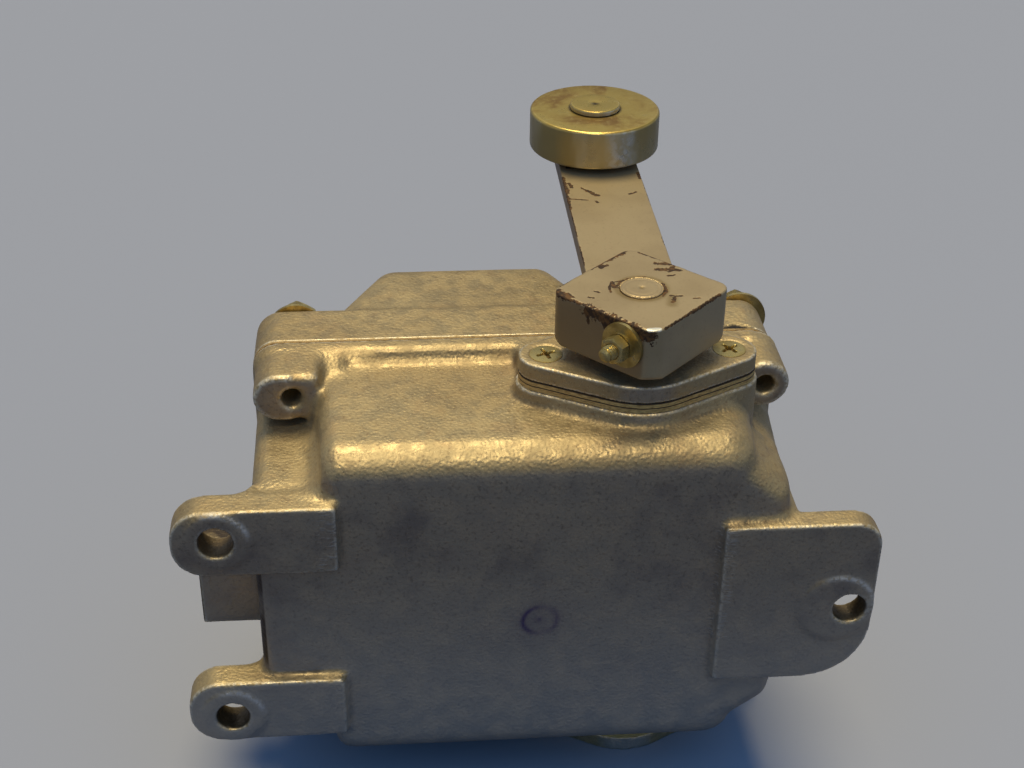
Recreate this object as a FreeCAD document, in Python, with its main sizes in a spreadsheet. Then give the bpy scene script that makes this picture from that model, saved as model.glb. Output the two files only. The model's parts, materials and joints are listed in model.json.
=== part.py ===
"""Crane limit switch: cast housing on three lugs, shaft with clamped roller lever, two contact sets.

Frame: millimetres, +Z up along the shaft, origin on the shaft axis at the underside of the
bottom flange, mounting lugs towards -Y, bolted cover towards +Y, cable entry towards -X.
"""
import FreeCAD
import Part
import Sketcher
import math
import os

Vector = FreeCAD.Vector
doc = FreeCAD.newDocument("crane_limit_switch")

# Driving sizes, in millimetres and degrees.
SIZES = {
    # Flanges above and below the housing
    "FlangePlate": 6.0,
    "FlangeGasket": 3.5,
    "FlangeWaist": 23.5,
    "FlangeEnd": 9.0,
    "FlangeScrewHalf": 30.3,
    "FlangeScrew": 6.0,
    "FlangeScrewHead": 11.4,
    "FlangeScrewLength": 18.0,
    # Housing: rim, central box, wide body with its draft towards the front, ledge
    "RimStep": 5.0,
    "RimRight": 52.5,
    "RimFront": 21.5,
    "RimThick": 7.0,
    "RimCorner": 9.0,
    "RimRound": 3.5,
    "BoxLeft": 103.5,
    "BoxRight": 35.0,
    "BoxHalf": 63.0,
    "BoxLeftRound": 6.0,
    "BoxRightRound": 9.5,
    "BoxFrontRound": 11.0,
    "BodyLeft": 128.0,
    "BodyRight": 46.8,
    "BodyHalf": 47.5,
    "BodyLeftRound": 5.5,
    "BodyRightRound": 11.5,
    "BodyFrontRound": 12.5,
    "LeftDraft": 3.0,
    "RightDraft": 5.2,
    "LedgeReach": 4.7,
    "LedgeHalf": 34.5,
    "BackFace": 37.0,
    "Wall": 5.0,
    "SmallRound": 3.0,
    "ValleyCove": 6.5,
    "RightCove": 4.0,
    "LugCove": 6.0,
    "CavityRound": 6.0,
    # Mounting lugs
    "PadRise": 4.0,
    "RingRise": 1.0,
    "LugHole": 11.0,
    "LugLeft": 137.25,
    "LugRight": 69.25,
    "LugHalf": 36.2,
    "LeftRing": 21.0,
    "RightRing": 25.5,
    "LeftLugEnd": 151.8,
    "LeftLugInner": 99.0,
    "LeftLugOutside": 11.3,
    "LeftLugInside": 13.7,
    "LeftLugThick": 11.0,
    "RightLugEnd": 77.6,
    "RightLugInner": 24.9,
    "RightLugTop": 34.0,
    "RightLugBottom": 30.0,
    "RightLugThick": 9.0,
    # Cover and its bolts
    "CoverGasket": 1.0,
    "CoverDepth": 23.3,
    "CoverPost": 14.0,
    "BoltLeftInset": 14.0,
    "BoltRightInset": 7.3,
    "BoltInset": 9.0,
    "BoltSize": 8.0,
    "BoltDrill": 6.8,
    "BoltFlats": 13.0,
    "BoltHead": 5.5,
    "BoltReach": 11.0,
    "WasherOuter": 23.5,
    "WasherThick": 1.6,
    "BoltSpringOuter": 14.2,
    "BoltSpringThick": 2.0,
    "BossRadius": 8.6,
    "BossFront": 6.0,
    "HumpCentre": 52.6,
    "HumpBaseHalf": 53.0,
    "HumpEndHalf": 32.2,
    "HumpDepth": 38.5,
    "HumpInset": 1.5,
    "HumpDraft": 1.5,
    "HumpRound": 10.0,
    # Cable entry
    "EntryReach": 20.0,
    "EntryFront": 13.0,
    "EntryDeep": 30.0,
    "EntryHalf": 16.0,
    "EntryDrop": 3.0,
    "EntryBore": 23.5,
    # Shaft and bearings
    "ShaftSize": 14.0,
    "ShaftProud": 1.0,
    "JournalSize": 10.0,
    "JournalRise": 1.0,
    "SquareFlats": 12.0,
    "SquareSpare": 4.0,
    "CollarSize": 18.0,
    "CollarThick": 4.0,
    "RunningGap": 0.05,
    "BushOuter": 20.0,
    "LowerBushOuter": 16.0,
    "BushLip": 2.0,
    "LipReach": 2.5,
    "SpigotSize": 28.0,
    "SpigotDepth": 20.0,
    "SealOuter": 22.0,
    "SealThick": 4.5,
    "LowerBossSize": 26.0,
    "LowerBossRise": 4.5,
    # Lever
    "HubWidth": 42.0,
    "HubGap": 4.5,
    "HubThick": 18.5,
    "HubCorner": 5.0,
    "HubChamfer": 3.0,
    "LeverWidth": 30.0,
    "LeverStep": 6.0,
    "LeverThick": 6.0,
    "LeverArm": 128.0,
    "RollerSize": 49.8,
    "RollerThick": 15.0,
    "RollerGap": 2.0,
    "RollerEdge": 1.2,
    "PinSize": 12.0,
    "PinHead": 19.0,
    "PinHeadThick": 2.8,
    "BushWall": 2.0,
    "EndPlay": 0.3,
    "CotterSize": 8.0,
    "CotterOffset": 9.2,
    "CotterRise": 10.5,
    "CotterHead": 3.0,
    "StudSize": 5.0,
    "StudReach": 10.5,
    "NutFlats": 8.0,
    "NutThick": 4.0,
    "ClampWasher": 15.0,
    "ClampWasherThick": 1.2,
    "SpringWasherOuter": 9.2,
    "SpringWasherThick": 1.2,
    # Cams, spring and its dog
    "CamRadius": 17.0,
    "CamRise": 3.0,
    "CamTravel": 45.0,
    "CamThick": 8.0,
    "SpacerOuter": 22.0,
    "RingThick": 2.0,
    "BoreGap": 0.05,
    "DogRise": 2.0,
    "DogThick": 4.0,
    "DogWidth": 10.0,
    "PostRadius": 18.0,
    "PostSize": 4.0,
    "PegRadius": 26.0,
    "PegSize": 6.8,
    "SpringRadius": 11.5,
    "SpringWire": 2.5,
    "SpringPitch": 3.0,
    "SpringTurns": 5.0,
    "SpringLeg": 32.0,
    "SpringRise": 2.7,
    "CamSpare": 10.0,
    "CamDwell": 60.0,
    "PinStep": 1.0,
    "RivetThick": 2.0,
    # Contact set
    "BlockLeft": 100.0,
    "BlockRight": 10.0,
    "BlockRise": 28.5,
    "BlockHeight": 58.0,
    "BlockBase": 5.0,
    "StandOff": 2.0,
    "ShelfThick": 4.0,
    "ShelfFront": 20.0,
    "PedestalLeft": 88.0,
    "PedestalRight": 42.0,
    "PedestalFront": 14.0,
    "PivotDepth": 19.0,
    "PivotPin": 5.0,
    "PivotHub": 9.0,
    "EarRight": 13.0,
    "EarFront": 13.5,
    "NoseRadius": 2.5,
    "NoseGap": 0.35,
    "ArmWidth": 6.0,
    "ArmFront": 26.0,
    "SideGap": 0.3,
    "DomeSize": 5.0,
    "ContactDepth": 21.0,
    "ContactPitch": 10.0,
    "StripWidth": 7.0,
    "StripThick": 1.5,
    "BridgeThick": 1.6,
    "DomeThick": 1.2,
    "ContactMargin": 0.6,
    "TabReach": 9.0,
    "TerminalSize": 4.0,
    "TerminalHead": 2.4,
    "TerminalPlace": 76.0,
    "ReturnCoil": 6.0,
    "ReturnWire": 0.8,
    "BlockScrew": 5.0,
    "BlockScrewHead": 9.0,
    "BlockScrewLeft": 95.0,
    "BlockScrewRight": 36.0,
    "BlockScrewInset": 12.0,
    "TapSpare": 1.5,
    "EarthScrew": 6.0,
    "EarthPlace": 112.0,
    "EarthDrop": 31.5,
    "LugRound": 11.2,
    "RightTopRound": 9.0,
    "RightBottomRound": 22.0,
    "RaisedLeft": 38.0,
    "RaisedRight": 39.0,
}

HEX_CORNER = 1.0 / math.sqrt(3.0)
DIAGONAL = math.sqrt(0.5)


class Size:
    """A measure as text for an expression, with the number that the text gives."""

    def __init__(self, text, number):
        self.text = text
        self.number = number

    def combine(self, sign, other, number):
        text = other.text if isinstance(other, Size) else repr(float(other))
        return Size(f"({self.text} {sign} {text})", number)

    def __add__(self, other):
        return self.combine("+", other, self.number + plain(other))

    def __sub__(self, other):
        return self.combine("-", other, self.number - plain(other))

    def __mul__(self, other):
        return self.combine("*", other, self.number * plain(other))

    def __truediv__(self, other):
        return self.combine("/", other, self.number / plain(other))

    def __neg__(self):
        return Size(f"(0 - {self.text})", -self.number)


def plain(value):
    return value.number if isinstance(value, Size) else float(value)


ZERO = Size("0", 0.0)
sheet = doc.addObject("Spreadsheet::Sheet", "Sizes")


class Sheet:
    """Every driving size by its name."""


size = Sheet()
for row, (name, number) in enumerate(SIZES.items(), 1):
    sheet.set(f"A{row}", str(number))
    sheet.setAlias(f"A{row}", name)
    setattr(size, name, Size(f"Sizes.{name}", number))
doc.recompute()


# General helpers

def bind(thing, path, value):
    """Tie one property of an object to the sheet."""
    thing.setExpression(path, value.text)


def place(thing, x, y, z, turn=None):
    """Put an object at a point worked out from the sheet, turned by a fixed rotation."""
    rotation = turn or FreeCAD.Rotation()
    thing.Placement = FreeCAD.Placement(Vector(x.number, y.number, z.number), rotation)
    bind(thing, "Placement.Base.x", x)
    bind(thing, "Placement.Base.y", y)
    bind(thing, "Placement.Base.z", z)


TO_BACK = FreeCAD.Rotation(Vector(1, 0, 0), -90)
TO_BACK_TURNED = TO_BACK.multiply(FreeCAD.Rotation(Vector(0, 0, 1), 30))
TO_RIGHT = FreeCAD.Rotation(Vector(0, 1, 0), 90)
CLAMP_LINE = FreeCAD.Rotation(Vector(0, 0, 1), Vector(-1, -1, 0))
TO_CLAMP = CLAMP_LINE.multiply(FreeCAD.Rotation(Vector(0, 0, 1), 45))
UPSIDE_DOWN = FreeCAD.Rotation(Vector(1, 0, 0), 180)


def new_body(label):
    body = doc.addObject("PartDesign::Body", label)
    body.Label = label
    return body


def sketch_on(body, plane, level):
    """A sketch on one of the body's own planes, moved to a level along the plane's axis."""
    sketch = body.newObject("Sketcher::SketchObject", f"{body.Name}_sketch")
    support = [item for item in body.Origin.OriginFeatures if item.Role == plane][0]
    sketch.AttachmentSupport = [(support, "")]
    sketch.MapMode = "FlatFace"
    bind(sketch, "AttachmentOffset.Base.z", -level if plane == "XZ_Plane" else level)
    return sketch


def fix_point(sketch, item, end, x, y):
    """Hold one point of a sketch at two sizes from the sketch origin."""
    for kind, axis, value in (("DistanceX", -2, x), ("DistanceY", -1, y)):
        if value is ZERO:
            sketch.addConstraint(Sketcher.Constraint("PointOnObject", item, end, axis))
        else:
            number = sketch.addConstraint(Sketcher.Constraint(kind, -1, 1, item, end, value.number))
            bind(sketch, f"Constraints[{number}]", value)


def draw_polygon(sketch, corners):
    first = sketch.GeometryCount
    points = [Vector(x.number, y.number, 0) for x, y in corners]
    count = len(points)
    for index in range(count):
        sketch.addGeometry(Part.LineSegment(points[index], points[(index + 1) % count]), False)
    for index, (x, y) in enumerate(corners):
        before = first + (index - 1) % count
        sketch.addConstraint(Sketcher.Constraint("Coincident", before, 2, first + index, 1))
        fix_point(sketch, first + index, 1, x, y)


def draw_box(sketch, left, low, right, high):
    draw_polygon(sketch, [(left, low), (right, low), (right, high), (left, high)])


def draw_circle(sketch, x, y, diameter):
    circle = Part.Circle(Vector(x.number, y.number, 0), Vector(0, 0, 1), diameter.number / 2)
    item = sketch.addGeometry(circle, False)
    fix_point(sketch, item, 3, x, y)
    number = sketch.addConstraint(Sketcher.Constraint("Diameter", item, diameter.number))
    bind(sketch, f"Constraints[{number}]", diameter)


def extrude(body, sketch, plane, length):
    """Add material from the sketch towards the higher side of its axis."""
    pad = body.newObject("PartDesign::Pad", f"{body.Name}_pad")
    pad.Profile = sketch
    pad.Reversed = plane == "XZ_Plane"
    bind(pad, "Length", length)
    doc.recompute()
    return pad


def cut_out(body, sketch, plane, length):
    """Take material away from the sketch towards the higher side of its axis."""
    before = body.Shape.Volume
    pocket = body.newObject("PartDesign::Pocket", f"{body.Name}_pocket")
    pocket.Profile = sketch
    pocket.Reversed = plane != "XZ_Plane"
    bind(pocket, "Length", length)
    doc.recompute()
    if body.Shape.Volume >= before - 0.01:
        raise ValueError(f"{body.Label}: a pocket took nothing away")
    return pocket


def add_box(body, plane, level, length, left, low, right, high):
    sketch = sketch_on(body, plane, level)
    draw_box(sketch, left, low, right, high)
    return extrude(body, sketch, plane, length)


def cut_box(body, plane, level, length, left, low, right, high):
    sketch = sketch_on(body, plane, level)
    draw_box(sketch, left, low, right, high)
    return cut_out(body, sketch, plane, length)


def add_rounds(body, plane, level, length, circles):
    sketch = sketch_on(body, plane, level)
    for x, y, diameter in circles:
        draw_circle(sketch, x, y, diameter)
    return extrude(body, sketch, plane, length)


def cut_rounds(body, plane, level, length, circles):
    sketch = sketch_on(body, plane, level)
    for x, y, diameter in circles:
        draw_circle(sketch, x, y, diameter)
    return cut_out(body, sketch, plane, length)


def edges_along(shape, axis, places):
    """Names of the straight edges along an axis that stand at the given places of the other two."""
    across = [index for index in range(3) if index != "xyz".index(axis)]
    names = []
    for number, edge in enumerate(shape.Edges, 1):
        if edge.Curve.TypeId != "Part::GeomLine":
            continue
        start, end = edge.Vertexes[0].Point, edge.Vertexes[-1].Point
        if max(abs(start[index] - end[index]) for index in across) > 0.001:
            continue
        for place_a, place_b in places:
            off = abs(start[across[0]] - place_a.number) + abs(start[across[1]] - place_b.number)
            if off < 0.01:
                names.append(f"Edge{number}")
    return names


def edges_in_plane(shape, axis, level):
    """Names of the edges that lie wholly in the plane at a level of an axis."""
    index = "xyz".index(axis)
    names = []
    for number, edge in enumerate(shape.Edges, 1):
        box = edge.BoundBox
        low = (box.XMin, box.YMin, box.ZMin)[index]
        high = (box.XMax, box.YMax, box.ZMax)[index]
        if abs(low - level.number) < 0.01 and abs(high - level.number) < 0.01:
            names.append(f"Edge{number}")
    return names


def side_edges(shape, level, left, right):
    """Names of the edges at a height that run back along Y between two places of X."""
    names = []
    for number, edge in enumerate(shape.Edges, 1):
        box = edge.BoundBox
        flat = abs(box.ZMin - level.number) < 0.01 and abs(box.ZMax - level.number) < 0.01
        if flat and box.YLength > box.XLength and left.number < box.Center.x < right.number:
            names.append(f"Edge{number}")
    return names


def round_edges(body, names, radius):
    """Round named edges of the body's last feature."""
    if not names:
        raise ValueError(f"{body.Label}: no edge to round")
    before = body.Tip
    fillet = body.newObject("PartDesign::Fillet", f"{body.Name}_fillet")
    fillet.Base = (before, names)
    bind(fillet, "Radius", radius)
    doc.recompute()
    return fillet


def bevel_edges(body, names, width):
    """Bevel named edges of the body's last feature."""
    if not names:
        raise ValueError(f"{body.Label}: no edge to bevel")
    before = body.Tip
    chamfer = body.newObject("PartDesign::Chamfer", f"{body.Name}_chamfer")
    chamfer.Base = (before, names)
    bind(chamfer, "Size", width)
    doc.recompute()
    return chamfer


def drafted_block(label, near, far):
    """A block along Y between two rectangles of X and Z, larger at the rim than at the front."""
    body = new_body(label)
    wedge = body.newObject("PartDesign::AdditiveWedge", f"{label}_wedge")
    front = dict(zip(("Xmin", "Zmin", "Xmax", "Zmax"), near))
    rear = dict(zip(("X2min", "Z2min", "X2max", "Z2max"), far))
    depth = {"Ymin": -size.BackFace, "Ymax": size.RimFront + size.SmallRound}
    for path, value in {**front, **rear, **depth}.items():
        setattr(wedge, path, value.number)
        bind(wedge, path, value)
    doc.recompute()
    return body


def join(body, tool):
    """Make another body one with this one."""
    union = body.newObject("PartDesign::Boolean", f"{body.Name}_union")
    union.Type = "Fuse"
    union.setObjects([tool])
    doc.recompute()
    return union


def turned(label, profile):
    """A body turned about its own Z axis from (radius, height) corners."""
    body = new_body(label)
    sketch = sketch_on(body, "XZ_Plane", ZERO)
    draw_polygon(sketch, profile)
    turning = body.newObject("PartDesign::Revolution", f"{body.Name}_turning")
    turning.Profile = sketch
    turning.ReferenceAxis = (sketch, ["V_Axis"])
    turning.Angle = 360.0
    doc.recompute()
    return body


def ring(label, inner, outer, low, high):
    """A plain turned ring given by its two diameters and two heights."""
    return turned(label, [
        (inner / 2, low),
        (outer / 2, low),
        (outer / 2, high),
        (inner / 2, high),
    ])


def group(label, members):
    """Like pieces kept as separate solids of one sub-part."""
    bundle = doc.addObject("Part::Compound", label)
    bundle.Label = label
    bundle.Links = members
    doc.recompute()
    return bundle


def boolean(kind, label, base, tool):
    result = doc.addObject(f"Part::{kind}", label)
    result.Label = label
    result.Base = base
    result.Tool = tool
    doc.recompute()
    return result


# Levels shared by several pieces

middle = size.FlangePlate + size.FlangeGasket + size.RimStep + size.BoxHalf
box_top = middle + size.BoxHalf
box_bottom = middle - size.BoxHalf
rim_half = size.BoxHalf + size.RimStep
pad_top = middle + rim_half
pad_bottom = middle - rim_half
top_plate_low = pad_top + size.FlangeGasket
top_plate_high = top_plate_low + size.FlangePlate
floor_level = box_bottom + size.Wall
ceiling_level = box_top - size.Wall
front_inside = size.Wall - size.BackFace
lug_face = -(size.BackFace + size.PadRise)
rim_back = size.RimFront + size.RimThick
cover_front = rim_back + size.CoverGasket
cover_back = cover_front + size.CoverDepth
hole_high = middle + size.LugHalf
hole_low = middle - size.LugHalf
entry_height = middle - size.EntryDrop
bolt_high = pad_top - size.BoltInset
bolt_low = pad_bottom + size.BoltInset
bolt_left = size.BoltLeftInset - size.BodyLeft
bolt_right = size.RimRight - size.BoltRightInset
bolt_places = [(x, z) for x in (bolt_left, bolt_right) for z in (bolt_high, bolt_low)]
screw_places = [(-size.FlangeScrewHalf, ZERO), (size.FlangeScrewHalf, ZERO)]


# Rhombic outline shared by flange plates, gaskets and the bosses under them

def draw_rhombus(sketch, margin):
    """Hull of a waist circle and two end circles, drawn as four arcs and four tangent lines."""
    waist = size.FlangeWaist + margin
    end = size.FlangeEnd + margin
    half = size.FlangeScrewHalf.number
    lean = math.asin((waist.number - end.number) / half)
    middle_point = Vector(0, 0, 0)
    right, left = Vector(half, 0, 0), Vector(-half, 0, 0)
    quarter = math.pi / 2
    arcs = [
        (right, end, lean - quarter, quarter - lean),
        (middle_point, waist, quarter - lean, quarter + lean),
        (left, end, quarter + lean, 3 * quarter - lean),
        (middle_point, waist, 3 * quarter - lean, 3 * quarter + lean),
    ]
    first = sketch.GeometryCount
    for centre, radius, start, stop in arcs:
        round_part = Part.Circle(centre, Vector(0, 0, 1), radius.number)
        sketch.addGeometry(Part.ArcOfCircle(round_part, start, stop), False)
    for index, (centre, radius, start, stop) in enumerate(arcs):
        after_centre, after_radius, after_start = arcs[(index + 1) % 4][:3]
        leave = centre + Vector(math.cos(stop), math.sin(stop), 0) * radius.number
        reach = Vector(math.cos(after_start), math.sin(after_start), 0) * after_radius.number
        sketch.addGeometry(Part.LineSegment(leave, after_centre + reach), False)
    for index in range(4):
        line = first + 4 + index
        sketch.addConstraint(Sketcher.Constraint("Tangent", first + index, 2, line, 1))
        sketch.addConstraint(Sketcher.Constraint("Tangent", line, 2, first + (index + 1) % 4, 1))
    fix_point(sketch, first, 3, size.FlangeScrewHalf, ZERO)
    fix_point(sketch, first + 2, 3, -size.FlangeScrewHalf, ZERO)
    for index, radius in ((0, end), (1, waist), (2, end), (3, waist)):
        number = sketch.addConstraint(Sketcher.Constraint("Radius", first + index, radius.number))
        bind(sketch, f"Constraints[{number}]", radius)
    fix_point(sketch, first + 1, 3, ZERO, ZERO)
    fix_point(sketch, first + 3, 3, ZERO, ZERO)


def add_rhombus(body, level, length, margin):
    sketch = sketch_on(body, "XY_Plane", level)
    draw_rhombus(sketch, margin)
    return extrude(body, sketch, "XY_Plane", length)


# Cast housing

def make_housing():
    housing = new_body("housing")
    add_box(
        housing, "XZ_Plane", size.RimFront, size.RimThick,
        -size.BodyLeft, pad_bottom, size.RimRight, pad_top,
    )
    rim_corners = [(x, z) for x in (-size.BodyLeft, size.RimRight) for z in (pad_bottom, pad_top)]
    round_edges(housing, edges_along(housing.Shape, "y", rim_corners), size.RimCorner)
    round_edges(housing, edges_in_plane(housing.Shape, "y", size.RimFront), size.RimRound)
    join(housing, make_box_block())
    join(housing, make_body_block())
    add_ledge(housing)
    add_bolt_bosses(housing)
    add_rhombus(housing, pad_bottom, pad_top - pad_bottom, size.RingRise)
    add_box(
        housing, "XY_Plane", pad_bottom, pad_top - pad_bottom,
        -size.RaisedLeft, ZERO, size.RaisedRight, size.RimFront + size.SmallRound,
    )
    add_valley_coves(housing)
    add_lugs(housing)
    add_entry(housing)
    hollow_out(housing)
    add_inner_bosses(housing)
    drill_housing(housing)
    return housing


def round_block(body, low, high, left_round, right_round, front_round):
    """Round the front of a drafted block, then the whole edge of each of its two sides."""
    fronts = [(-size.BackFace, low), (-size.BackFace, high)]
    round_edges(body, edges_along(body.Shape, "x", fronts), front_round)
    round_edges(body, side_edges(body.Shape, high, -size.BodyLeft, ZERO), left_round)
    round_edges(body, side_edges(body.Shape, high, ZERO, size.RimRight), right_round)


def make_box_block():
    body = drafted_block(
        "housing_box",
        (-size.BoxLeft, box_bottom, size.BoxRight, box_top),
        (-(size.BoxLeft + size.LeftDraft), box_bottom, size.BoxRight + size.RightDraft, box_top),
    )
    round_block(body, box_bottom, box_top, size.BoxLeftRound, size.BoxRightRound, size.BoxFrontRound)
    return body


def make_body_block():
    low, high, left = middle - size.BodyHalf, middle + size.BodyHalf, -size.BodyLeft
    body = drafted_block(
        "housing_body",
        (left + size.LeftDraft / 2, low, size.BodyRight, high),
        (left + size.RingRise / 2, low, size.BodyRight + size.RightDraft, high),
    )
    round_block(body, low, high, size.BodyLeftRound, size.BodyRightRound, size.BodyFrontRound)
    return body


def add_ledge(housing):
    ledge_front = size.SmallRound - size.BackFace
    right = size.BodyRight + size.LedgeReach
    add_box(
        housing, "XZ_Plane", ledge_front, size.RimFront - ledge_front - size.SmallRound,
        size.BodyRight - size.Wall, middle - size.LedgeHalf, right, middle + size.LedgeHalf,
    )
    ledge_edges = [(right, middle + size.LedgeHalf), (right, middle - size.LedgeHalf)]
    round_edges(housing, edges_along(housing.Shape, "y", ledge_edges), size.SmallRound)


def add_bolt_bosses(housing):
    radius, left = size.BossRadius, size.RingRise + size.BossRadius - size.BodyLeft
    rounds = [(x, z, radius * 2) for x in (left, bolt_right) for z in (bolt_high, bolt_low)]
    add_rounds(housing, "XZ_Plane", size.BossFront, rim_back - size.BossFront, rounds)
    for height in (bolt_low, bolt_high):
        add_box(
            housing, "XZ_Plane", size.BossFront, size.RimFront - size.BossFront + size.SmallRound,
            left, height - radius, -(size.BoxLeft + size.RingRise), height + radius,
        )


def cove(corner_x, corner_y, side_x, side_y, radius):
    """Corners of a hollow fillet in an inside corner, opening towards side_x and side_y."""
    centre_x, centre_y = corner_x + radius * side_x, corner_y + radius * side_y
    under_x, under_y = corner_x - size.RingRise * side_x, corner_y - size.RingRise * side_y
    points = [(under_x, centre_y), (under_x, under_y), (centre_x, under_y)]
    for step in range(5):
        turn = math.pi / 8 * step
        along, across = math.sin(turn) * side_x, math.cos(turn) * side_y
        points.append((centre_x - radius * along, centre_y - radius * across))
    return points


def add_valley_coves(housing):
    """Hollow fillets between the wide body and both sides of the central box."""
    sides = [
        (-1, -size.BoxLeft, -(size.BoxLeft + size.LeftDraft), size.ValleyCove),
        (1, size.BoxRight, size.BoxRight + size.RightDraft, size.RightCove),
    ]
    for outwards, near_x, far_x, radius in sides:
        for level, side in ((middle + size.BodyHalf, 1), (middle - size.BodyHalf, -1)):
            near = sketch_on(housing, "XZ_Plane", size.SmallRound - size.BackFace)
            draw_polygon(near, cove(near_x, level, outwards, side, radius))
            far = sketch_on(housing, "XZ_Plane", size.RimFront + size.RingRise)
            draw_polygon(far, cove(far_x, level, outwards, side, radius))
            loft = housing.newObject("PartDesign::AdditiveLoft", "valley_cove")
            loft.Profile = near
            loft.Sections = [far]
            doc.recompute()


def add_lugs(housing):
    left_end = -size.LeftLugEnd
    for low, high in (
        (hole_high - size.LeftLugInside, hole_high + size.LeftLugOutside),
        (hole_low - size.LeftLugOutside, hole_low + size.LeftLugInside),
    ):
        add_box(
            housing, "XZ_Plane", lug_face, size.LeftLugThick,
            left_end, low, -size.LeftLugInner, high,
        )
        ends = [(left_end, low), (left_end, high)]
        round_edges(housing, edges_along(housing.Shape, "y", ends), size.LugRound)
        behind = sketch_on(housing, "XY_Plane", low)
        draw_polygon(behind, cove(
            size.LeftDraft / 2 - size.BodyLeft, lug_face + size.LeftLugThick, -1, 1, size.LugCove,
        ))
        extrude(housing, behind, "XY_Plane", high - low)
    low, high = middle - size.RightLugBottom, middle + size.RightLugTop
    add_box(
        housing, "XZ_Plane", lug_face, size.RightLugThick,
        size.RightLugInner, low, size.RightLugEnd, high,
    )
    round_edges(housing, edges_along(housing.Shape, "y", [(size.RightLugEnd, high)]), size.RightTopRound)
    round_edges(housing, edges_along(housing.Shape, "y", [(size.RightLugEnd, low)]), size.RightBottomRound)
    rings = [
        (-size.LugLeft, hole_high, size.LeftRing),
        (-size.LugLeft, hole_low, size.LeftRing),
        (size.RightLugEnd - size.RightRing / 2, middle, size.RightRing),
    ]
    add_rounds(housing, "XZ_Plane", lug_face - size.RingRise, size.RingRise * 2, rings)


def add_entry(housing):
    low, high = entry_height - size.EntryHalf, entry_height + size.EntryHalf
    add_box(
        housing, "YZ_Plane", -(size.BodyLeft + size.EntryReach), size.EntryReach + size.Wall,
        -size.EntryFront, low, size.EntryDeep - size.EntryFront, high,
    )


def cavity_outline(sketch):
    """The central cavity with its corners cut across."""
    left, right = size.Wall - size.BoxLeft, size.BoxRight - size.Wall
    low, high, cut = floor_level, ceiling_level, size.CavityRound
    draw_polygon(sketch, [
        (left + cut, low),
        (right - cut, low),
        (right, low + cut),
        (right, high - cut),
        (right - cut, high),
        (left + cut, high),
        (left, high - cut),
        (left, low + cut),
    ])


def hollow_out(housing):
    depth = rim_back - front_inside
    sketch = sketch_on(housing, "XZ_Plane", front_inside)
    cavity_outline(sketch)
    cut_out(housing, sketch, "XZ_Plane", depth)
    cut_box(
        housing, "XZ_Plane", front_inside, depth,
        size.Wall - size.BodyLeft, middle - size.BodyHalf + size.Wall,
        size.BodyRight - size.Wall, middle + size.BodyHalf - size.Wall,
    )


def block_screw_places():
    low = block_bottom + size.BlockScrewInset
    high = block_top - size.BlockScrewInset
    return [(-x, z) for x in (size.BlockScrewLeft, size.BlockScrewRight) for z in (low, high)]


def add_inner_bosses(housing):
    add_rounds(
        housing, "XY_Plane", floor_level - size.Wall / 2, size.LowerBossRise + size.Wall / 2,
        [(ZERO, ZERO, size.LowerBossSize)],
    )
    feet = [(x, z, size.BlockScrew * 2) for x, z in block_screw_places()]
    add_rounds(housing, "XZ_Plane", front_inside - size.Wall / 2, size.StandOff + size.Wall / 2, feet)
    earth = [(-size.EarthPlace, middle - size.EarthDrop, size.EarthScrew * 2)]
    add_rounds(housing, "XZ_Plane", front_inside - size.Wall / 2, size.StandOff + size.Wall / 2, earth)


def drill_housing(housing):
    below = box_bottom - size.RimStep - size.Wall
    bush_seat = [(ZERO, ZERO, size.LowerBushOuter)]
    cut_rounds(housing, "XY_Plane", below, box_bottom - below + size.Wall * 3, bush_seat)
    cut_rounds(
        housing, "XY_Plane", ceiling_level - size.Wall, size.Wall * 4,
        [(ZERO, ZERO, size.SpigotSize + size.BoreGap * 2)],
    )
    thread = [(x, y, size.FlangeScrew) for x, y in screw_places]
    depth = size.RimStep + size.Wall
    cut_rounds(housing, "XY_Plane", pad_top - depth, depth * 2, thread)
    cut_rounds(housing, "XY_Plane", pad_bottom - depth, depth * 2, thread)
    post = [(ZERO, size.PostRadius, size.PostSize)]
    cut_rounds(housing, "XY_Plane", floor_level - size.Wall / 2, size.Wall, post)
    mounting = [(-size.LugLeft, hole_high, size.LugHole), (-size.LugLeft, hole_low, size.LugHole)]
    mounting.append((size.LugRight, middle, size.LugHole))
    cut_rounds(housing, "XZ_Plane", lug_face - size.Wall, size.Wall * 2 + size.LeftLugThick, mounting)
    drills = [(x, z, size.BoltDrill) for x, z in bolt_places]
    boss_depth = rim_back - size.BossFront
    cut_rounds(housing, "XZ_Plane", size.BossFront - size.Wall, boss_depth + size.Wall * 2, drills)
    threads = [(x, z, size.BoltSize + size.BoreGap * 2) for x, z in bolt_places]
    cut_rounds(housing, "XZ_Plane", rim_back - size.BoltReach, size.BoltReach + size.Wall, threads)
    entry = [(size.EntryDeep / 2 - size.EntryFront, entry_height, size.EntryBore)]
    cut_rounds(
        housing, "YZ_Plane", -(size.BodyLeft + size.EntryReach + size.Wall),
        size.EntryReach + size.Wall * 3, entry,
    )
    taps = [(x, z, size.BlockScrew) for x, z in block_screw_places()]
    cut_rounds(housing, "XZ_Plane", front_inside - size.Wall + size.RingRise, size.Wall * 2, taps)
    earth = [(-size.EarthPlace, middle - size.EarthDrop, size.EarthScrew)]
    cut_rounds(housing, "XZ_Plane", front_inside - size.Wall + size.RingRise, size.Wall * 2, earth)


# Cover with its rear hump, gasket, bolts and washers

def draw_hump(sketch, half, shrink, inset):
    draw_box(
        sketch, -(size.HumpCentre + half - inset), pad_bottom + shrink + inset,
        half - size.HumpCentre - inset, pad_top - shrink - inset,
    )


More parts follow.
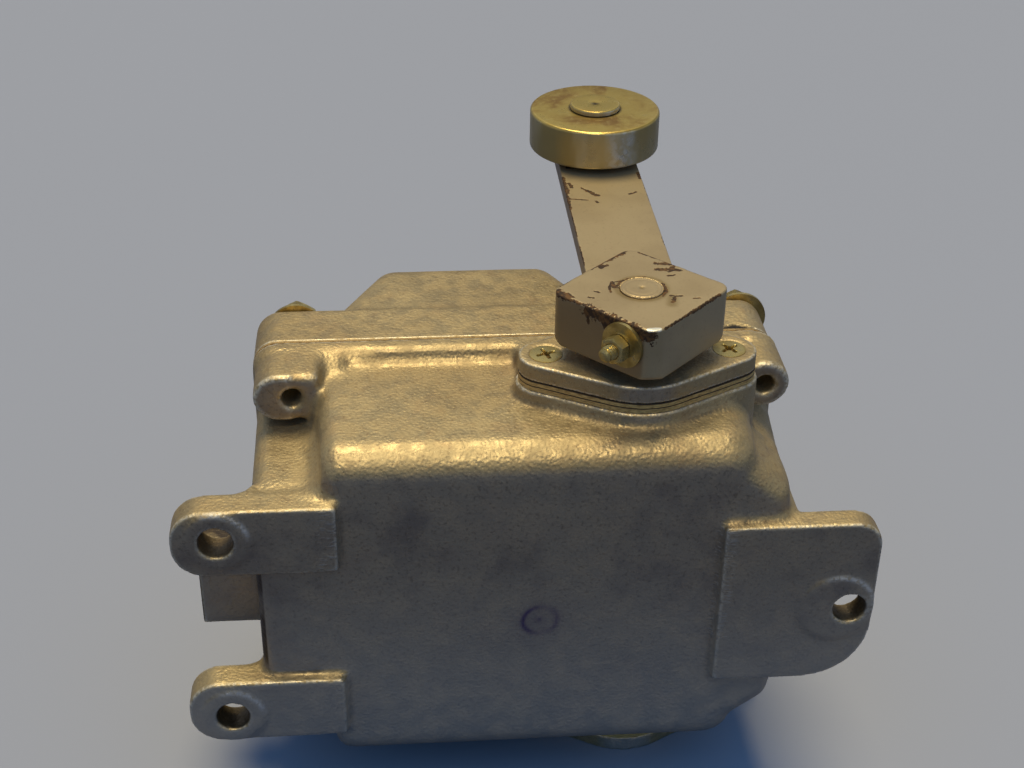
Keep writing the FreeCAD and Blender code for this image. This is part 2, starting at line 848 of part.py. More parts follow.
def hump_sketches(cover, inset, start, end):
    base = sketch_on(cover, "XZ_Plane", start)
    draw_hump(base, size.HumpBaseHalf, size.HumpInset, inset)
    tip = sketch_on(cover, "XZ_Plane", end)
    draw_hump(tip, size.HumpEndHalf, size.HumpInset + size.HumpDraft, inset)
    return base, tip


def make_cover():
    cover = new_body("cover")
    add_box(
        cover, "XZ_Plane", cover_front, size.CoverDepth,
        -size.BodyLeft, pad_bottom, size.RimRight, pad_top,
    )
    corners = [(x, z) for x in (-size.BodyLeft, size.RimRight) for z in (pad_bottom, pad_top)]
    round_edges(cover, edges_along(cover.Shape, "y", corners), size.RimCorner)
    round_edges(cover, edges_in_plane(cover.Shape, "y", cover_back), size.SmallRound)
    hump_end = cover_back + size.HumpDepth
    base, tip = hump_sketches(cover, ZERO, cover_back - size.Wall, hump_end)
    loft = cover.newObject("PartDesign::AdditiveLoft", "cover_hump")
    loft.Profile = base
    loft.Sections = [tip]
    doc.recompute()
    rim = edges_in_plane(cover.Shape, "y", hump_end)
    round_edges(cover, rim + slanted_edges(cover.Shape, cover_back, hump_end), size.HumpRound)
    cut_box(
        cover, "XZ_Plane", cover_front - size.Wall, size.CoverDepth,
        size.Wall - size.BodyLeft, pad_bottom + size.Wall, size.RimRight - size.Wall, pad_top - size.Wall,
    )
    mouth = cover_back - size.Wall - size.SmallRound
    base, tip = hump_sketches(cover, size.Wall, mouth, hump_end - size.Wall)
    hollow = cover.newObject("PartDesign::SubtractiveLoft", "cover_hollow")
    hollow.Profile = base
    hollow.Sections = [tip]
    doc.recompute()
    seats = [(x, z, size.WasherOuter + size.RingRise) for x, z in bolt_places]
    cut_rounds(cover, "XZ_Plane", cover_back, size.Wall, seats)
    posts = [(x, z, size.CoverPost) for x, z in bolt_places]
    add_rounds(cover, "XZ_Plane", cover_front, size.CoverDepth - size.SmallRound, posts)
    bores = [(x, z, size.BoltSize + size.RingRise) for x, z in bolt_places]
    cut_rounds(cover, "XZ_Plane", cover_front - size.Wall, size.CoverDepth + size.Wall * 2, bores)
    return cover


def slanted_edges(shape, start, end):
    """Names of the four edges that run from one level of Y to another, not square to it."""
    names = []
    for number, edge in enumerate(shape.Edges, 1):
        box = edge.BoundBox
        if abs(box.YMax - end.number) < 0.01 and box.YMin < start.number + 0.01:
            names.append(f"Edge{number}")
    return names


def make_cover_gasket():
    gasket = new_body("cover_gasket")
    left, right = -size.BodyLeft, size.RimRight
    add_box(gasket, "XZ_Plane", rim_back, size.CoverGasket, left, pad_bottom, right, pad_top)
    corners = [(x, z) for x in (left, right) for z in (pad_bottom, pad_top)]
    round_edges(gasket, edges_along(gasket.Shape, "y", corners), size.RimCorner)
    depth = size.CoverGasket * 3
    front = rim_back - size.CoverGasket
    opening = sketch_on(gasket, "XZ_Plane", front)
    cavity_outline(opening)
    cut_out(gasket, opening, "XZ_Plane", depth)
    cut_box(
        gasket, "XZ_Plane", front, depth,
        size.Wall - size.BodyLeft, middle - size.BodyHalf + size.Wall,
        size.BodyRight - size.Wall, middle + size.BodyHalf - size.Wall,
    )
    bores = [(x, z, size.BoltSize + size.RingRise) for x, z in bolt_places]
    cut_rounds(gasket, "XZ_Plane", front, depth, bores)
    return gasket


def make_hex_bolt(label):
    """A hexagon bolt along +Z with its head above the origin plane."""
    shank = doc.addObject("Part::Cylinder", f"{label}_shank")
    length = size.BoltReach + size.CoverGasket + size.CoverDepth + size.WasherThick + size.BoltSpringThick
    bind(shank, "Radius", size.BoltSize / 2)
    bind(shank, "Height", length)
    place(shank, ZERO, ZERO, -length)
    head = doc.addObject("Part::Prism", f"{label}_head")
    head.Polygon = 6
    bind(head, "Circumradius", size.BoltFlats * HEX_CORNER)
    bind(head, "Height", size.BoltHead)
    return boolean("Fuse", label, head, shank)


def make_cover_fasteners():
    bolts, springs, washers = [], [], []
    bore = size.BoltSize + size.BoreGap * 4
    for index, (x, z) in enumerate(bolt_places, 1):
        bolt = make_hex_bolt(f"cover_bolt_{index}")
        place(bolt, x, cover_back + size.WasherThick + size.BoltSpringThick, z, TO_BACK_TURNED)
        bolts.append(bolt)
        spring = ring(f"cover_spring_washer_{index}", bore, size.BoltSpringOuter, ZERO, size.BoltSpringThick)
        place(spring, x, cover_back + size.WasherThick, z, TO_BACK)
        springs.append(spring)
        washer = ring(f"cover_washer_{index}", bore, size.WasherOuter, ZERO, size.WasherThick)
        place(washer, x, cover_back, z, TO_BACK)
        washers.append(washer)
    return [
        group("cover_bolts", bolts),
        group("cover_spring_washers", springs),
        group("cover_washers", washers),
    ]


# Top and bottom flanges with their gaskets and countersunk screws

def countersink(body, level):
    width = (size.FlangeScrewHead - size.FlangeScrew) / 2
    names = []
    for number, edge in enumerate(body.Shape.Edges, 1):
        box = edge.BoundBox
        flat = abs(box.ZMin - level.number) < 0.01 and abs(box.ZMax - level.number) < 0.01
        if flat and abs(box.XLength - size.FlangeScrew.number) < 0.5:
            names.append(f"Edge{number}")
    bevel_edges(body, names, width)


def drill_flange(body, level, length):
    holes = [(x, y, size.FlangeScrew + size.BoreGap * 2) for x, y in screw_places]
    cut_rounds(body, "XY_Plane", level, length, holes)


def make_bearing_flange():
    flange = new_body("bearing_flange")
    add_rhombus(flange, top_plate_low, size.FlangePlate, ZERO)
    foot = top_plate_low - size.SpigotDepth
    add_rounds(flange, "XY_Plane", foot, size.SpigotDepth + size.RingRise, [(ZERO, ZERO, size.SpigotSize)])
    cut_rounds(
        flange, "XY_Plane", foot - size.Wall, size.SpigotDepth + size.FlangePlate + size.Wall * 2,
        [(ZERO, ZERO, size.BushOuter)],
    )
    seat = top_plate_high - size.SealThick
    cut_rounds(flange, "XY_Plane", seat, size.SealThick * 2, [(ZERO, ZERO, size.SealOuter)])
    drill_flange(flange, top_plate_low - size.RingRise, size.FlangePlate + size.RingRise * 2)
    countersink(flange, top_plate_high)
    return flange


def make_bottom_flange():
    flange = new_body("bottom_flange")
    add_rhombus(flange, ZERO, size.FlangePlate, ZERO)
    drill_flange(flange, -size.RingRise, size.FlangePlate + size.RingRise * 2)
    countersink(flange, ZERO)
    return flange


def make_flange_gasket(label, level, bore):
    gasket = new_body(label)
    add_rhombus(gasket, level, size.FlangeGasket, ZERO)
    drill_flange(gasket, level - size.RingRise, size.FlangeGasket + size.RingRise * 2)
    cut_rounds(gasket, "XY_Plane", level - size.RingRise, size.FlangeGasket * 2, [(ZERO, ZERO, bore)])
    return gasket


def make_flange_screws(label, level, turn):
    screws = []
    taper = (size.FlangeScrewHead - size.FlangeScrew) / 2
    for index, (x, y) in enumerate(screw_places, 1):
        screw = turned(f"{label}_{index}", [
            (ZERO, -size.FlangeScrewLength),
            (size.FlangeScrew / 2, -size.FlangeScrewLength),
            (size.FlangeScrew / 2, -taper),
            (size.FlangeScrewHead / 2, ZERO),
            (ZERO, ZERO),
        ])
        place(screw, x, y, level, turn)
        screws.append(screw)
    return group(label, screws)


# Bearings, seal and shaft

hub_bottom = top_plate_high + size.HubGap
hub_top = hub_bottom + size.HubThick
cotter_height = hub_bottom + size.CotterRise
spigot_foot = top_plate_low - size.SpigotDepth
lip_low = spigot_foot - size.BushLip
collar_high = lip_low - size.EndPlay
lower_boss_top = floor_level + size.LowerBossRise
shoulder_height = lower_boss_top + size.BushLip + size.EndPlay
block_bottom = floor_level + size.BlockRise
block_top = block_bottom + size.BlockHeight
dog_height = block_bottom + size.DogRise
square_top = block_top + size.SquareSpare


def make_upper_bearing():
    inner = size.ShaftSize / 2 + size.RunningGap
    outer = size.BushOuter / 2
    return turned("upper_bearing", [
        (inner, lip_low),
        (outer + size.LipReach, lip_low),
        (outer + size.LipReach, spigot_foot),
        (outer, spigot_foot),
        (outer, top_plate_high - size.SealThick),
        (inner, top_plate_high - size.SealThick),
    ])


def make_lower_bearing():
    inner = size.JournalSize / 2 + size.RunningGap
    outer = size.LowerBushOuter / 2
    return turned("lower_bearing", [
        (inner, pad_bottom),
        (outer, pad_bottom),
        (outer, lower_boss_top),
        (outer + size.LipReach, lower_boss_top),
        (outer + size.LipReach, shoulder_height - size.EndPlay),
        (inner, shoulder_height - size.EndPlay),
    ])


def make_cotter_bore():
    """The cross bore that the cotter pin fills, beside the shaft axis."""
    bore = doc.addObject("Part::Cylinder", "cotter_bore")
    bind(bore, "Radius", size.CotterSize / 2 + size.BoreGap)
    bind(bore, "Height", size.HubWidth * 2)
    place(
        bore, (size.HubWidth + size.CotterOffset) * DIAGONAL,
        (size.HubWidth - size.CotterOffset) * DIAGONAL, cotter_height, TO_CLAMP,
    )
    return bore


def make_shaft(cotter_bore):
    journal, barrel = size.JournalSize / 2, size.ShaftSize / 2
    blank = turned("shaft_blank", [
        (ZERO, pad_bottom + size.JournalRise),
        (journal, pad_bottom + size.JournalRise),
        (journal, shoulder_height),
        (barrel, shoulder_height),
        (barrel, collar_high - size.CollarThick),
        (size.CollarSize / 2, collar_high - size.CollarThick),
        (size.CollarSize / 2, collar_high),
        (barrel, collar_high),
        (barrel, hub_top + size.ShaftProud),
        (ZERO, hub_top + size.ShaftProud),
    ])
    flats = sketch_on(blank, "XY_Plane", shoulder_height)
    draw_circle(flats, ZERO, ZERO, size.CollarSize)
    half = size.SquareFlats / 2
    draw_box(flats, -half, -half, half, half)
    cut_out(blank, flats, "XY_Plane", square_top - shoulder_height)
    return boolean("Cut", "shaft", blank, cotter_bore)


# Lever: hub, arm, cotter and its fasteners, roller and pin

lever_bottom = hub_bottom + size.LeverStep
lever_top = lever_bottom + size.LeverThick
roller_bottom = lever_top + size.RollerGap
roller_top = roller_bottom + size.RollerThick


def make_lever_hub(cotter_bore):
    blank = new_body("hub_blank")
    corner = size.HubWidth * DIAGONAL
    sketch = sketch_on(blank, "XY_Plane", hub_bottom)
    draw_polygon(sketch, [(corner, ZERO), (ZERO, corner), (-corner, ZERO), (ZERO, -corner)])
    extrude(blank, sketch, "XY_Plane", size.HubThick)
    uprights = [(corner, ZERO), (ZERO, corner), (-corner, ZERO), (ZERO, -corner)]
    round_edges(blank, edges_along(blank.Shape, "z", uprights), size.HubCorner)
    bevel = sketch_on(blank, "XZ_Plane", ZERO)
    reach = size.HubWidth / 2 + size.HubCorner
    draw_polygon(bevel, [
        (reach, hub_bottom),
        (reach + size.HubChamfer * 3, hub_bottom),
        (reach + size.HubChamfer * 3, hub_bottom + size.HubChamfer * 3),
    ])
    groove = blank.newObject("PartDesign::Groove", "hub_bevel")
    groove.Profile = bevel
    groove.ReferenceAxis = (bevel, ["V_Axis"])
    groove.Angle = 360.0
    doc.recompute()
    cut_rounds(
        blank, "XY_Plane", hub_bottom - size.Wall, size.HubThick + size.Wall * 2,
        [(ZERO, ZERO, size.ShaftSize)],
    )
    half = size.LeverWidth / 2
    cut_box(blank, "XZ_Plane", lever_root, size.HubWidth, -half, lever_bottom, half, lever_top)
    return boolean("Cut", "lever_hub", blank, cotter_bore)


lever_root = size.ShaftSize / 2 + size.SmallRound


def make_lever_arm():
    arm = new_body("lever_arm")
    half = size.LeverWidth / 2
    add_box(arm, "XY_Plane", lever_bottom, size.LeverThick, -half, lever_root, half, size.LeverArm)
    add_rounds(arm, "XY_Plane", lever_bottom, size.LeverThick, [(ZERO, size.LeverArm, size.LeverWidth)])
    bore = [(ZERO, size.LeverArm, size.PinSize - size.PinStep * 2)]
    cut_rounds(arm, "XY_Plane", lever_bottom - size.Wall, size.LeverThick + size.Wall * 2, bore)
    return arm


def along_clamp(distance, height):
    """The point on the cotter line at a distance from the hub centre towards the nut."""
    x = (size.CotterOffset - distance) * DIAGONAL
    y = (-size.CotterOffset - distance) * DIAGONAL
    return x, y, height


def make_cotter_set():
    half_hub = size.HubWidth / 2
    cotter = turned("cotter_pin", [
        (ZERO, -size.HubWidth - size.CotterHead),
        (size.CotterSize / 2 + size.CotterHead / 2, -size.HubWidth - size.CotterHead),
        (size.CotterSize / 2 + size.CotterHead / 2, -size.HubWidth),
        (size.CotterSize / 2, -size.HubWidth),
        (size.CotterSize / 2, ZERO),
        (size.StudSize / 2, ZERO),
        (size.StudSize / 2, size.StudReach),
        (ZERO, size.StudReach),
    ])
    place(cotter, *along_clamp(half_hub, cotter_height), TO_CLAMP)
    stud = size.StudSize + size.BoreGap * 4
    washer = ring("cotter_washer", stud, size.ClampWasher, ZERO, size.ClampWasherThick)
    place(washer, *along_clamp(half_hub, cotter_height), TO_CLAMP)
    spring_washer = ring("cotter_spring_washer", stud, size.SpringWasherOuter, ZERO, size.SpringWasherThick)
    place(spring_washer, *along_clamp(half_hub + size.ClampWasherThick, cotter_height), TO_CLAMP)
    blank = doc.addObject("Part::Prism", "cotter_nut_blank")
    blank.Polygon = 6
    bind(blank, "Circumradius", size.NutFlats * HEX_CORNER)
    bind(blank, "Height", size.NutThick)
    bore = doc.addObject("Part::Cylinder", "cotter_nut_bore")
    bind(bore, "Radius", size.StudSize / 2)
    bind(bore, "Height", size.NutThick)
    nut = boolean("Cut", "cotter_nut", blank, bore)
    seat = half_hub + size.ClampWasherThick + size.SpringWasherThick
    place(nut, *along_clamp(seat, cotter_height), TO_CLAMP)
    return cotter, washer, spring_washer, nut


def make_roller():
    edge, radius = size.RollerEdge, size.RollerSize / 2
    bore = size.PinSize / 2 + size.BushWall
    roller = turned("roller", [
        (bore, roller_bottom),
        (radius - edge, roller_bottom),
        (radius, roller_bottom + edge),
        (radius, roller_top - edge),
        (radius - edge, roller_top),
        (bore, roller_top),
    ])
    place(roller, ZERO, size.LeverArm, ZERO)
    return roller


def make_roller_bush():
    bush = ring(
        "roller_bush", size.PinSize + size.RunningGap * 2, size.PinSize + size.BushWall * 2,
        roller_bottom, roller_top,
    )
    place(bush, ZERO, size.LeverArm, ZERO)
    return bush


def make_roller_pin():
    pin, head = size.PinSize / 2, size.PinHead / 2
    head_low = roller_top + size.EndPlay
    rivet = lever_bottom - size.RivetThick
    body = turned("roller_pin", [
        (ZERO, rivet),
        (pin + size.RivetThick / 2, rivet),
        (pin + size.RivetThick, lever_bottom),
        (pin - size.PinStep, lever_bottom),
        (pin - size.PinStep, lever_top),
        (pin, lever_top),
        (pin, head_low),
        (head, head_low),
        (head, head_low + size.PinHeadThick - size.RollerEdge / 2),
        (head - size.RollerEdge / 2, head_low + size.PinHeadThick),
        (ZERO, head_low + size.PinHeadThick),
    ])
    place(body, ZERO, size.LeverArm, ZERO)
    return body


def make_roller_washer():
    washer = ring(
        "roller_washer", size.PinSize + size.BoreGap * 2, size.PinHead,
        lever_top, roller_bottom - size.EndPlay,
    )
    place(washer, ZERO, size.LeverArm, ZERO)
    return washer


# Cams, spacers, spring dog and return spring on the shaft

space_height = (size.BlockHeight - size.ShelfThick * 3) / 2
lower_space = block_bottom + size.ShelfThick
upper_space = lower_space + space_height + size.ShelfThick
space_levels = [lower_space, upper_space]
dog_top = dog_height + size.DogThick
spring_foot = shoulder_height + size.SpringRise


def cam_level(space):
    return space + space_height / 2 - size.CamThick / 2


def cam_outline(sense):
    """Spiral flank that lifts the follower evenly, closed by a dwell arc and a low arc."""
    radius, slope = size.CamRadius.number, size.CamRise.number / math.radians(size.CamTravel.number)
    reach = math.radians(size.CamTravel.number + size.CamSpare.number)
    steps = 8
    flank = []
    for step in range(-steps, steps + 1):
        turn = reach * step / steps
        angle = math.pi + sense * turn
        distance = radius - slope * turn
        flank.append(Vector(distance * math.cos(angle), distance * math.sin(angle), 0))
    curve = Part.BSplineCurve()
    curve.interpolate(flank)
    high, low = radius + slope * reach, radius - slope * reach
    dwell_end = math.pi - sense * (reach + math.radians(size.CamDwell.number))
    low_end = math.pi + sense * (reach + math.radians(size.CamDwell.number))

    def polar(distance, angle):
        return Vector(distance * math.cos(angle), distance * math.sin(angle), 0)

    dwell = Part.Arc(
        polar(high, dwell_end),
        polar(high, (dwell_end + math.pi - sense * reach) / 2),
        flank[0],
    )
    heel = Part.Arc(
        flank[-1],
        polar(low, (low_end + math.pi + sense * reach) / 2),
        polar(low, low_end),
    )
    back = Part.LineSegment(polar(low, low_end), polar(high, dwell_end))
    return Part.Wire([dwell.toShape(), curve.toShape(), heel.toShape(), back.toShape()])


def make_cam(label, space, sense):
    face = Part.Face(cam_outline(sense))
    body = face.extrude(Vector(0, 0, size.CamThick.number))
    side = size.SquareFlats.number + size.BoreGap.number * 2
    square = Part.makeBox(side, side, size.CamThick.number, Vector(-side / 2, -side / 2, 0))
    round_bore = Part.makeCylinder(size.ShaftSize.number / 2 + size.BoreGap.number, size.CamThick.number)
    cam = doc.addObject("Part::Feature", label)
    cam.Label = label
    cam.Shape = body.cut(square.common(round_bore))
    cam.Placement = FreeCAD.Placement(Vector(0, 0, cam_level(space).number), FreeCAD.Rotation())
    return cam


def make_cam_spacers():
    levels = [
        (dog_top, cam_level(lower_space)),
        (cam_level(lower_space) + size.CamThick, cam_level(upper_space)),
        (cam_level(upper_space) + size.CamThick, square_top),
    ]
    bore = size.ShaftSize + size.BoreGap * 2
    return group("cam_spacers", [
        ring(f"cam_spacer_{index}", bore, size.SpacerOuter, low, high)
        for index, (low, high) in enumerate(levels, 1)
    ])


def make_stack_ring():
    bore = size.ShaftSize + size.BoreGap * 2
    return ring("stack_ring", bore, size.CollarSize, dog_height - size.RingThick, dog_height)


def make_spring_dog():
    """A plate on the square of the shaft whose peg hangs between the spring legs."""
    dog = new_body("spring_dog")
    half = size.DogWidth / 2
    add_rounds(dog, "XY_Plane", dog_height, size.DogThick, [(ZERO, ZERO, size.SpacerOuter)])
    add_box(dog, "XY_Plane", dog_height, size.DogThick, -half, ZERO, half, size.PegRadius)
    end = [(ZERO, size.PegRadius, size.DogWidth)]
    add_rounds(dog, "XY_Plane", dog_height, size.DogThick, end)
    peg_foot = spring_foot - size.SpringWire
    peg = [(ZERO, size.PegRadius, size.PegSize)]
    add_rounds(dog, "XY_Plane", peg_foot, dog_height - peg_foot + size.RingRise, peg)
    side = size.SquareFlats / 2 + size.BoreGap
    cut_box(dog, "XY_Plane", dog_height - size.RingRise, size.DogThick * 2, -side, -side, side, side)
    return dog


def make_spring_post():
    foot = floor_level - size.Wall / 2
    post = turned("spring_post", [
        (ZERO, foot),
        (size.PostSize / 2, foot),
        (size.PostSize / 2, dog_height - size.PostSize),
        (ZERO, dog_height - size.PostSize),
    ])
    place(post, ZERO, size.PostRadius, ZERO)
    return post


def make_return_spring():
    """Torsion spring round the shaft whose two legs stand either side of the post and the peg."""
    wire, radius = size.SpringWire.number, size.SpringRadius.number
    half_gap = size.PostSize.number / 2 + wire / 2 + size.SideGap.number
    lean = math.degrees(math.asin(half_gap / size.PostRadius.number))
    turns = size.SpringTurns.number + 2 * lean / 360.0
    rise = turns * size.SpringPitch.number
    helix = Part.makeHelix(size.SpringPitch.number, rise, radius)
    section = Part.Wire(Part.Circle(Vector(radius, 0, 0), Vector(0, 1, 0), wire / 2).toShape())
    coil = Part.Wire(helix).makePipeShell([section], True, True)
    length = size.SpringLeg.number - radius
    legs = []
    for angle, height in ((0.0, 0.0), (2 * lean, rise)):
        leg = Part.makeCylinder(wire / 2, length, Vector(radius, 0, height), Vector(1, 0, 0))
        elbow = Part.makeSphere(wire / 2, Vector(radius, 0, height))
        for piece in (leg, elbow):
            piece.rotate(Vector(0, 0, 0), Vector(0, 0, 1), angle)
            legs.append(piece)
    spring = doc.addObject("Part::Feature", "return_spring")
    spring.Label = "return_spring"
    spring.Shape = coil.multiFuse(legs)
    turn = FreeCAD.Rotation(Vector(0, 0, 1), 90.0 - lean)
    spring.Placement = FreeCAD.Placement(Vector(0, 0, spring_foot.number), turn)
    return spring


# Contact set: moulded block, two cam-driven levers, bridges, strips, springs and screws

nose_place = size.CamRadius + size.NoseGap + size.NoseRadius
arm_right = nose_place + size.SmallRound
arm_left = arm_right + size.ArmWidth
bridge_face = arm_left + size.BridgeThick + size.DomeThick
contact_stroke = size.CamRise / size.PivotDepth * (size.ContactDepth + size.PivotDepth)
strip_face = bridge_face + contact_stroke + size.ContactMargin
tab_right = strip_face + size.DomeThick
block_back = front_inside + size.StandOff
base_front = block_back + size.BlockBase


def make_contact_block():
    block = new_body("contact_block")
    top = block_top
    add_box(
        block, "XZ_Plane", block_back, size.BlockBase,
        -size.BlockLeft, block_bottom, -size.BlockRight, top,
    )
    inside = base_front - size.RingRise
    for level in (block_bottom, lower_space + space_height, upper_space + space_height):
        shelf = sketch_on(block, "XY_Plane", level)
        draw_polygon(shelf, [
            (-size.BlockLeft, inside),
            (-size.EarRight, inside),
            (-size.EarRight, -size.EarFront),
            (-(nose_place + size.PivotHub), -size.EarFront),
            (-(nose_place + size.PivotHub), size.ShelfFront),
            (-size.BlockLeft, size.ShelfFront),
        ])
        extrude(block, shelf, "XY_Plane", size.ShelfThick)
    add_box(
        block, "XZ_Plane", inside, size.PedestalFront - inside,
        -size.PedestalLeft, block_bottom + size.RingRise, -size.PedestalRight, top - size.RingRise,
    )
    pivot = [(-nose_place, -size.PivotDepth, size.PivotPin)]
    cut_rounds(block, "XY_Plane", block_bottom - size.Wall, size.BlockHeight + size.Wall * 2, pivot)
    screws = [(x, z, size.BlockScrew + size.BoreGap * 2) for x, z in block_screw_places()]
    cut_rounds(block, "XZ_Plane", block_back - size.RingRise, size.BlockBase + size.RingRise, screws)
    terminals = [(-size.TerminalPlace, z, size.TerminalSize) for z in strip_levels()]
    cut_rounds(block, "XZ_Plane", ZERO, size.PedestalFront * 2, terminals)
    return block


def strip_levels():
    half = space_height / 2
    sides = (-size.ContactPitch / 2, size.ContactPitch / 2)
    return [space + half + side for space in space_levels for side in sides]


def make_fixed_contact(index, level):
    """A brass strip on the pedestal, bent up to a tab that carries the contact dome."""
    strip = new_body(f"fixed_contact_{index}")
    low, high = level - size.StripWidth / 2, level + size.StripWidth / 2
    foot = size.PedestalFront
    profile = sketch_on(strip, "XY_Plane", low)
    left = -(size.TerminalPlace + size.StripWidth)
    draw_polygon(profile, [
        (left, foot),
        (-tab_right, foot),
        (-tab_right, foot + size.TabReach),
        (-(tab_right + size.StripThick), foot + size.TabReach),
        (-(tab_right + size.StripThick), foot + size.StripThick),
        (left, foot + size.StripThick),
    ])
    extrude(strip, profile, "XY_Plane", high - low)
    dome_depth = size.ContactDepth - contact_stroke * contact_stroke / (size.ContactDepth + size.PivotDepth)
    dome = [(dome_depth - size.DomeThick, level, size.DomeSize)]
    add_rounds(strip, "YZ_Plane", -(tab_right + size.RingRise), size.DomeThick + size.RingRise, dome)
    hole = [(-size.TerminalPlace, level, size.TerminalSize)]
    cut_rounds(strip, "XZ_Plane", foot - size.RingRise, size.StripThick + size.RingRise * 2, hole)
    return strip


def make_terminal_screws():
    screws = []
    seat = size.PedestalFront + size.StripThick
    for index, level in enumerate(strip_levels(), 1):
        radius = size.TerminalSize / 2
        screw = turned(f"terminal_screw_{index}", [
            (ZERO, -size.PedestalFront / 2),
            (radius, -size.PedestalFront / 2),
            (radius, ZERO),
            (radius * 2, ZERO),
            (radius * 2, size.TerminalHead),
            (ZERO, size.TerminalHead),
        ])
        place(screw, -size.TerminalPlace, seat, level, TO_BACK)
        screws.append(screw)
    return group("terminal_screws", screws)


def make_block_screws():
    screws = []
    radius = size.BlockScrew / 2
    length = size.BlockBase + size.StandOff + size.Wall - size.TapSpare
    for index, (x, z) in enumerate(block_screw_places(), 1):
        screw = turned(f"block_screw_{index}", [
            (ZERO, -length),
            (radius, -length),
            (radius, ZERO),
            (size.BlockScrewHead / 2, ZERO),
            (size.BlockScrewHead / 2, radius),
            (size.BlockScrewHead / 2 - size.RingRise, radius + size.RingRise),
            (ZERO, radius + size.RingRise),
        ])
        place(screw, x, base_front, z, TO_BACK)
        screws.append(screw)
    return group("block_screws", screws)


def make_earth_screw():
    radius = size.EarthScrew / 2
    length = size.StandOff + size.Wall - size.TapSpare
    screw = turned("earth_screw", [
        (ZERO, -length),
        (radius, -length),
        (radius, ZERO),
        (radius * 2, ZERO),
        (radius * 2, radius),
        (ZERO, radius),
    ])
    place(screw, -size.EarthPlace, front_inside + size.StandOff, middle - size.EarthDrop, TO_BACK)
    return screw


def make_pivot_pin():
    foot = block_bottom - size.BridgeThick
    pin = turned("pivot_pin", [
        (ZERO, foot),
        (size.PivotPin / 2, foot),
        (size.PivotPin / 2, block_top + size.BridgeThick),
        (ZERO, block_top + size.BridgeThick),
    ])
    place(pin, -nose_place, -size.PivotDepth, ZERO)
    return pin


def make_contact_lever(index, space):
    lever = new_body(f"contact_lever_{index}")
    hub_low, hub_high = space + size.SideGap, space + space_height - size.SideGap
    hub = [(-nose_place, -size.PivotDepth, size.PivotHub)]
    add_rounds(lever, "XY_Plane", hub_low, hub_high - hub_low, hub)
    half = size.CamThick / 2 + size.RingRise * 2
    centre = space + space_height / 2
    foot = size.PivotDepth + size.PivotHub / 2
    sketch = sketch_on(lever, "XY_Plane", centre - half)
    draw_polygon(sketch, [
        (-arm_left, -foot),
        (-nose_place, -foot),
        (-nose_place, size.PivotHub / 2 - size.PivotDepth),
        (-arm_right, size.PivotHub / 2 - size.PivotDepth),
        (-arm_right, -size.NoseRadius),
        (-nose_place, -size.NoseRadius),
        (-nose_place, size.NoseRadius),
        (-arm_right, size.NoseRadius),
        (-arm_right, size.ArmFront),
        (-arm_left, size.ArmFront),
    ])
    extrude(lever, sketch, "XY_Plane", half * 2)
    nose = [(-nose_place, ZERO, size.NoseRadius * 2)]
    add_rounds(lever, "XY_Plane", centre - half, half * 2, nose)
    bore = [(-nose_place, -size.PivotDepth, size.PivotPin + size.RunningGap * 2)]
    cut_rounds(lever, "XY_Plane", hub_low - size.RingRise, space_height + size.RingRise, bore)
    return lever


def make_bridge(index, space):
    """The moving bridge with its two contact domes."""
    bridge = new_body(f"contact_bridge_{index}")
    centre = space + space_height / 2
    edge = size.DomeSize / 2 + size.RingRise
    half = size.ContactPitch / 2 + edge
    add_box(
        bridge, "YZ_Plane", -(arm_left + size.BridgeThick), size.BridgeThick,
        size.ContactDepth - edge, centre - half,
        size.ContactDepth + edge, centre + half,
    )
    domes = [(size.ContactDepth, centre + side, size.DomeSize)
             for side in (-size.ContactPitch / 2, size.ContactPitch / 2)]
    add_rounds(bridge, "YZ_Plane", -bridge_face, size.DomeThick + size.BridgeThick / 2, domes)
    return bridge


def make_lever_spring(index, space):
    """Small compression spring between the pedestal and the contact lever."""
    wire, radius = size.ReturnWire.number, size.ReturnCoil.number / 2
    start = size.PedestalRight.number - wire / 2 - size.BoreGap.number
    end = arm_left.number + wire / 2 + size.SideGap.number
    turns = 6
    helix = Part.makeHelix((start - end) / turns, start - end, radius)
    section = Part.Wire(Part.Circle(Vector(radius, 0, 0), Vector(0, 1, 0), wire / 2).toShape())
    coil = Part.Wire(helix).makePipeShell([section], True, True)
    spring = doc.addObject("Part::Feature", f"lever_spring_{index}")
    spring.Label = f"lever_spring_{index}"
    spring.Shape = coil
    centre = space + space_height / 2
    seat = Vector(-start, -size.NoseRadius.number * 2, centre.number)
    spring.Placement = FreeCAD.Placement(seat, TO_RIGHT)
    return spring


def make_shaft_seal():
    inner = size.ShaftSize + size.SideGap * 2
    return ring("shaft_seal", inner, size.SealOuter, top_plate_high - size.SealThick, top_plate_high)


# The whole switch

